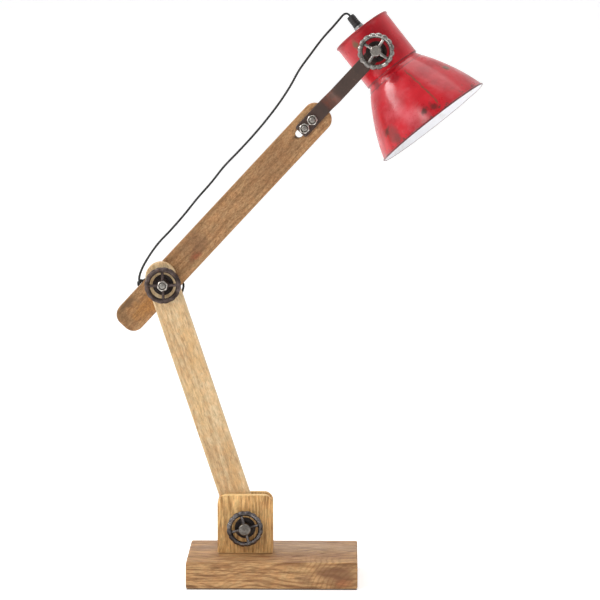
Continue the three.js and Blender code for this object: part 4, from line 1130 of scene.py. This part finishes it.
def strap_bar():
    """A flat bar: low on the arm, then through a joggle to the head, where it is twisted."""
    start, end = STRAP["start"], STRAP["end"]
    half, thick = STRAP["width"] / 2, STRAP["thickness"] / 2
    round_from = end - half
    step, nudge, corner, filed = 1.5, 0.05, 0.7, 2
    stations = [start]
    while stations[-1] < round_from:
        stations.append(stations[-1] + step)
    stations += [end - half * math.cos(math.radians(angle)) for angle in range(6, 90, 7)]
    rings = []
    for along in sorted(stations):
        slope = (strap_middle(along + nudge) - strap_middle(along - nudge)) / (2 * nudge)
        tangent = Vector((1, slope, 0)).normalized()
        twist = math.radians(HEAD_TWIST) * strap_bend(along)
        across = Vector((0, -math.sin(twist), math.cos(twist)))
        normal = across.cross(tangent).normalized()
        side = tangent.cross(normal)
        past = max(along - round_from, 0)
        width = math.sqrt(max(half * half - past * past, 4))
        width -= max(0, filed - (along - start))  # the near end's corners are filed off
        centre = Vector((along, strap_middle(along), STRAP["line"]))
        section = [
            (-thick, -width + corner), (-thick, width - corner), (-thick + corner, width),
            (thick - corner, width), (thick, width - corner), (thick, -width + corner),
            (thick - corner, -width), (-thick + corner, -width),
        ]
        ring = []
        for out, sideways in section:
            dent = 0.12 * noise.noise(Vector((along, out * 3, sideways)) / 7)
            ring.append(centre + normal * (out + dent) + side * sideways)
        rings.append(ring)
    return skin("strap", rings, UPPER)


def add_strap():
    strap = strap_bar()
    lower = STRAP_MIDDLES[0]
    holes = [drill(lower - 4, lower + 4, UPPER, x, STRAP["line"]) for x in STRAP_BOLTS]
    cut(strap, *holes, drill(-4, 4, STRAP_HEAD))
    dress(strap, "rusted_iron", "head_strap")

    nut_back = -(lower - STRAP["thickness"] / 2 - GAP)
    nut_front = nut_back + HEX["height"]
    head_front = -(UPPER_ARM_FACES[1] + GAP)
    for number, x in enumerate(STRAP_BOLTS, 1):
        place = facing_front(UPPER, x, STRAP["line"])
        place = place @ Matrix.Rotation(math.radians(4 + 19 * number), 4, "Z")
        nut = hexagon(f"nut_on_strap_{number}", place, nut_back, nut_front, NUT_BORE)
        dress(nut, "nut_steel", f"strap_nut_{number}", slot="steel")
        bolt = headed_bolt(f"bolt_through_strap_{number}", place, head_front, nut_front + 1.2)
        dress(bolt, "bolt_steel", f"strap_bolt_{number}", slot="steel")


def headed_bolt(name, place, head_front, shank_end):
    """A hexagon-headed bolt whose head is at the back and whose threaded end points forwards."""
    head = hexagon("head", facing_back(place), -head_front, -head_front + HEX["height"])
    return merged(name, head, threaded_shank(place, head_front - OVERLAP, shank_end))


def threaded_shank(place, start, end):
    """A round bar with a domed, threaded end."""
    thread, pitch = 14, 1.25
    crest = BOLT_RADIUS
    root = crest - 0.55
    height = end - thread
    profile = [(0, start), (crest, start), (crest, height)]
    while height < end - 2 * pitch:
        profile += [(root, height + pitch / 2), (crest, height + pitch)]
        height += pitch
    profile += [(crest - 1, end - 0.3), (crest - 1.8, end), (0, end)]
    return lathe("shank", profile, place, 40)


# -------- handwheels


def handwheel(pivot, place, back, look, tilt=0, slot=None):
    """A cast handwheel: a lobed rim, four spokes and a hub, all run together.

    Tilt is how far the place is turned from level. Gives where the nut in front seats.
    """
    turn = WHEEL_TURNS[pivot] - tilt
    rings = []
    for angle in round_angles(192):
        lobe = abs(math.sin(WHEEL["scallops"] / 2 * angle)) ** 0.55
        ring = []
        for section in round_angles(20):
            outward = max(0, 0.45 + 0.55 * math.cos(section))
            radius = WHEEL["section"] - LOBE_DEPTHS[pivot] * (1 - lobe) * outward
            out, up = polar(radius, section)
            ring.append((*polar(WHEEL["rim"] + out, angle), back + RIM_PLANE + up))
        rings.append(ring)
    rim = skin("rim", rings, place, closed=True)
    hub = [
        (BOLT_HOLE, 0), (WHEEL["hub_back"], 0), (WHEEL["hub_back"] - 0.6, 3),
        (WHEEL["hub"] + 0.4, RIM_PLANE), (WHEEL["hub"], HUB_LENGTH), (BOLT_HOLE, HUB_LENGTH),
    ]
    hub = softened([(radius, back + height) for radius, height in hub], 0.8)
    spokes = [spoke(place, back, math.radians(turn + 90 * quarter)) for quarter in range(4)]
    wheel = merged("wheel_" + pivot, rim, lathe("hub", hub, place), *spokes)
    remesh = wheel.modifiers.new("fuse", "REMESH")
    remesh.mode = "VOXEL"
    remesh.voxel_size = 0.00055
    soften = wheel.modifiers.new("soften", "SMOOTH")
    soften.iterations = 3
    soften.factor = 0.5
    dress(smooth(settle(wheel), 60), look, pivot + "_handwheel", slot=slot)
    return back + HUB_LENGTH + GAP


def spoke(place, back, turn):
    """A round-edged spoke that thickens towards the hub and the rim."""
    inner, outer = BOLT_HOLE + 1.2, WHEEL["rim"]
    half_width, half_depth = 2.4, 2.1
    steps = 14
    rings = []
    for step in range(steps + 1):
        share = step / steps
        flare = 1 + 0.5 * (2 * share - 1) ** 4
        along = inner + (outer - inner) * share
        ring = []
        for angle in round_angles(14):
            across = half_width * flare * math.cos(angle)
            height = back + RIM_PLANE + half_depth * flare * math.sin(angle)
            x = along * math.cos(turn) - across * math.sin(turn)
            y = along * math.sin(turn) + across * math.cos(turn)
            ring.append((x, y, height))
        rings.append(ring)
    return skin("spoke", rings, place)


def washer(name, place, start, node, size=WASHER, look="dark_iron_painted_shade", slot="gunmetal"):
    """A ring from start forwards; gives where the next piece in front of it starts."""
    # the default look is near-black iron, painted shade behind a handwheel
    hole, radius, end = size["hole"], size["radius"], start + size["thickness"]
    profile = [(hole, start), (radius, start), (radius, end), (hole, end)]
    dress(lathe(name, softened(profile, 0.35), place), look, node, slot=slot)
    return end + GAP


def add_bolt(pivot, place, back_face, end, look):
    """A pivot's bolt, through everything, with the washer under its head at the back."""
    rear = back_face - GAP - REAR_WASHER["thickness"]
    washer(f"washer_{pivot}_rear", place, rear, f"{pivot}_rear_washer", REAR_WASHER,
           "steel", "steel")
    dress(headed_bolt("bolt_" + pivot, place, rear - GAP, end), look, pivot + "_bolt",
          slot="steel")


def hammer(obj, depth):
    """Small uneven dents, in millimetres, as on a hand-finished casting."""
    for vertex in obj.data.vertices:
        dent = noise.noise(vertex.co / (2.6 * MM)) - 0.4
        vertex.co += vertex.normal * dent * depth * MM * 0.5


def add_base_pivot():
    place = facing_front(BASE_PIVOT)
    back = washer("washer_base_front", place, CHEEK["far"] + GAP, "base_front_washer")
    seat = handwheel("base", place, back, "gunmetal")
    hollow = 5.5
    dome = [
        (BOLT_HOLE, 0), (9.6, 0), (9.8, 4.5), (9, 6.8), (7.6, 7.6), (0, 8), (0, hollow),
        (BOLT_HOLE, hollow),
    ]
    dome = [(radius, seat + height) for radius, height in dome]
    nut = lathe("cap_nut_base", softened(dome, 0.9), place)
    hammer(nut, 0.35)
    dress(nut, "bright_pewter", "base_wheel_cap_nut", slot="pewter")
    add_bolt("base", place, -CHEEK["far"], seat + hollow - 1, "steel")


def add_elbow():
    place = facing_front(UPPER)
    face = LOWER_ARM["thickness"] / 2 + GAP
    back = washer("washer_elbow_front", place, face, "elbow_front_washer")
    washer("washer_elbow_between", place, -face - WASHER["thickness"], "elbow_spacer_washer")
    seat = handwheel("elbow", place, back, "dull_gunmetal", UPPER_ARM["pitch"], "gunmetal")
    nut = hexagon("nut_elbow", place, seat, seat + HEX["height"], NUT_BORE)
    dress(nut, "nut_steel", "elbow_wheel_nut", slot="pewter")
    add_bolt("elbow", place, -UPPER_ARM_FACES[1], seat + HEX["height"] + 1.5, "bolt_steel")


# -------- head


def add_head_pivot():
    place = facing_front(STRAP_HEAD)
    back = washer("washer_head", place, STRAP["thickness"] / 2 + GAP, "head_front_washer")
    seat = handwheel("head", place, back, "pewter", UPPER_ARM["pitch"])
    head = hexagon("head", place, seat, seat + HEX["height"])
    past_nut = 2
    inner_end = HEAD_AXIS_Y - CAP["radius"] + CAP["wall"] + 1 + HEX["height"] + past_nut
    shank = threaded_shank(facing_back(place), -seat - OVERLAP, inner_end)
    dress(merged("bolt_head", head, shank), "bright_pewter", "head_bolt", slot="pewter")


def add_cap():
    lip, radius, wall, length = CAP["lip"], CAP["radius"], CAP["wall"], CAP["length"]
    top_end, steps = 5.2, 12
    outside = [
        (NIPPLE_HOLE, 0), (lip - 3.4, 0), (lip - 1.2, 0.1), (lip - 0.3, 0.9), (lip, 2.1),
        (lip - 0.3, 3.3), (radius + 0.5, 4.3), (radius, top_end),
    ]
    straight = length - 1.2 - top_end
    outside += [(radius, top_end + straight * step / steps) for step in range(1, steps + 1)]
    outside += [(radius + 0.25, length - 0.5), (radius, length)]
    inner = radius - wall
    inside = [(inner, length), (inner, 5), (radius - 3.5, wall), (NIPPLE_HOLE, wall)]
    cap = lathe("cap", outside + inside, HEAD, 128, wobble=0.12)
    cut(cap, drill(0, HEAD_AXIS_Y, STRAP_HEAD))
    dress(cap, "red_paint", "cap_shell")


def add_shade():
    wall, neck = SHADE["wall"], SHADE["neck"]
    collar, neck_end, mouth = (SHADE_REACH[key] for key in ("collar", "neck_end", "mouth"))
    outside = [(neck, collar), (neck, CAP["length"]), (neck, neck_end)]
    steps = 40
    for step in range(1, steps + 1):
        distance = neck_end + (mouth - 3 - neck_end) * step / steps
        from_groove = (distance - GROOVE) / 1.3
        crease = 0.7 * math.exp(-from_groove * from_groove)
        outside.append((shade_radius(distance) - crease, distance))
    bead = 1.5
    rim = arc(SHADE["rim"] - bead, mouth - bead, bead, -80, 145, apart=25)
    inside = [(radius - wall, distance + 0.4) for radius, distance in reversed(outside)]
    inside[-1] = (neck - wall, collar)
    shade = lathe("shade", outside + rim + inside, HEAD, 144, wobble=0.25)
    dress(shade, "red_paint", "shade_shell")
    shade.data.materials.append(looks["white"])
    for face in shade.data.polygons:
        outwards = Vector((face.center.x, face.center.y, 0))
        if face.normal.dot(outwards) < 0 and face.center.z < (mouth - bead) * MM:
            face.material_index = 1


def add_lamp_holder():
    radius, bore, top = HOLDER["radius"], HOLDER["bore"], HOLDER["top"]
    flange, bottom = HOLDER["flange"], top + HOLDER["length"]
    floor = top + 8
    profile = [(NIPPLE_HOLE, top), (radius * 0.55, top), (radius, top + 12)]
    for rib in range(5):  # grip ribs round the barrel
        height = top + 16 + 3 * rib
        profile += [(radius, height), (radius - 0.6, height + 0.8), (radius, height + 1.6)]
    profile += [
        (radius, bottom - 10), (flange, bottom - 8), (flange, bottom - 5), (radius - 1, bottom - 4),
        (radius - 1, bottom), (bore, bottom), (bore, floor), (NIPPLE_HOLE, floor),
    ]
    holder = lathe("socket", softened(profile, 0.5), HEAD)
    dress(holder, "black_plastic", "lamp_holder")


def add_bulb():
    cap_top, glass_top, screw = BULB["cap_top"], BULB["glass_top"], BULB["cap"]
    profile = [(0, cap_top), (4.5, cap_top), (5, cap_top + 2), (screw - 1.5, cap_top + 5)]
    pitch = 3.6
    for turn in range(5):  # the rolled thread
        height = cap_top + 7 + pitch * turn
        profile += [(screw - 0.9, height), (screw, height + pitch / 2)]
    profile += [(screw - 0.6, glass_top - GAP), (0, glass_top - GAP)]
    cap = lathe("bulb_screw", softened(profile, 0.6), HEAD)
    dress(cap, "steel", "bulb_cap", slot="pewter")

    def glass(inset):
        neck = [(12.6, 0), (13.2, 7), (15, 15), (19.5, 26)]
        neck = [(radius - inset, glass_top + height) for radius, height in neck]
        middle = BULB["end"] - BULB["radius"]
        return [*neck, *arc(0, middle, BULB["radius"] - inset, -32, 88, apart=6),
                (0, BULB["end"] - inset)]

    bulb = lathe("bulb_envelope", glass(0) + glass(BULB["wall"])[::-1], HEAD, 96)
    dress(bulb, "frosted_glass", "bulb_glass")


def add_gland():
    foot = -GAP
    top = foot - GLAND["collar_height"]
    wide = GLAND["collar_radius"]
    ring = [
        (NIPPLE_HOLE, foot), (wide, foot), (wide, foot - 3), (wide - 0.7, foot - 3.6),
        (wide - 0.7, top), (NIPPLE_HOLE, top),
    ]
    dress(lathe("gland_ring", softened(ring, 0.4), HEAD), "steel", "gland_collar")

    foot = top - GAP
    tip = foot - GLAND["length"]
    radius = GLAND["radius"]
    body = [(NIPPLE_HOLE, foot), (radius + 0.3, foot)]
    for rib in range(4):  # moulded ribs let the sleeve bend with the cord
        height = foot - 5 - 3.2 * rib
        crest = radius - 0.1 * rib
        body += [(crest, height), (radius - 0.7, height - 0.8), (crest, height - 1.6)]
    body += [(radius - 1.2, tip), (0, tip), (0, foot - 7), (NIPPLE_HOLE, foot - 7)]
    dress(lathe("gland_sleeve", softened(body, 0.4), HEAD), "black_plastic", "cord_gland")


# -------- small CAD parts, kept


def keep(look, names, bevel=None):
    """Gives CAD nodes their material, and rounds their sharp edges."""
    for name in names:
        obj = frame["nodes"][name]
        obj.data.materials.clear()
        obj.data.materials.append(looks[look])
        if bevel:
            rounding = obj.modifiers.new("eased_edges", "BEVEL")
            rounding.width = bevel * MM
            rounding.segments = 2
            rounding.limit_method = "ANGLE"
            rounding.angle_limit = math.radians(35)


def keep_small_parts():
    keep("felt", ["base_felt_pad"])
    keep("steel", [*[f"cheek_screw_{n}" for n in (1, 2, 3, 4)], "head_inner_nut"])
    keep("brass", ["holder_nipple", "holder_lock_nut", "plug_pin_1", "plug_pin_2"], 0.25)
    keep("rusted_iron", ["head_saddle"], 0.3)
    clips = ["base_cord_clip", "elbow_cord_clip", *[f"arm_cord_clip_{n}" for n in (1, 2, 3)]]
    keep("black_plastic", clips, 0.35)
    keep("black_plastic", ["cord_tie", "plug_body"], 0.3)
    keep("black_plastic", ["switch_body"], 0.5)
    keep("rocker_plastic", ["switch_rocker"], 0.4)


# -------- build

looks = make_looks()
add_camera()
add_lights()
add_floor()
add_cord()
add_base()
add_arms()
add_strap()
add_base_pivot()
add_elbow()
add_head_pivot()
add_cap()
add_shade()
add_lamp_holder()
add_bulb()
add_gland()
keep_small_parts()
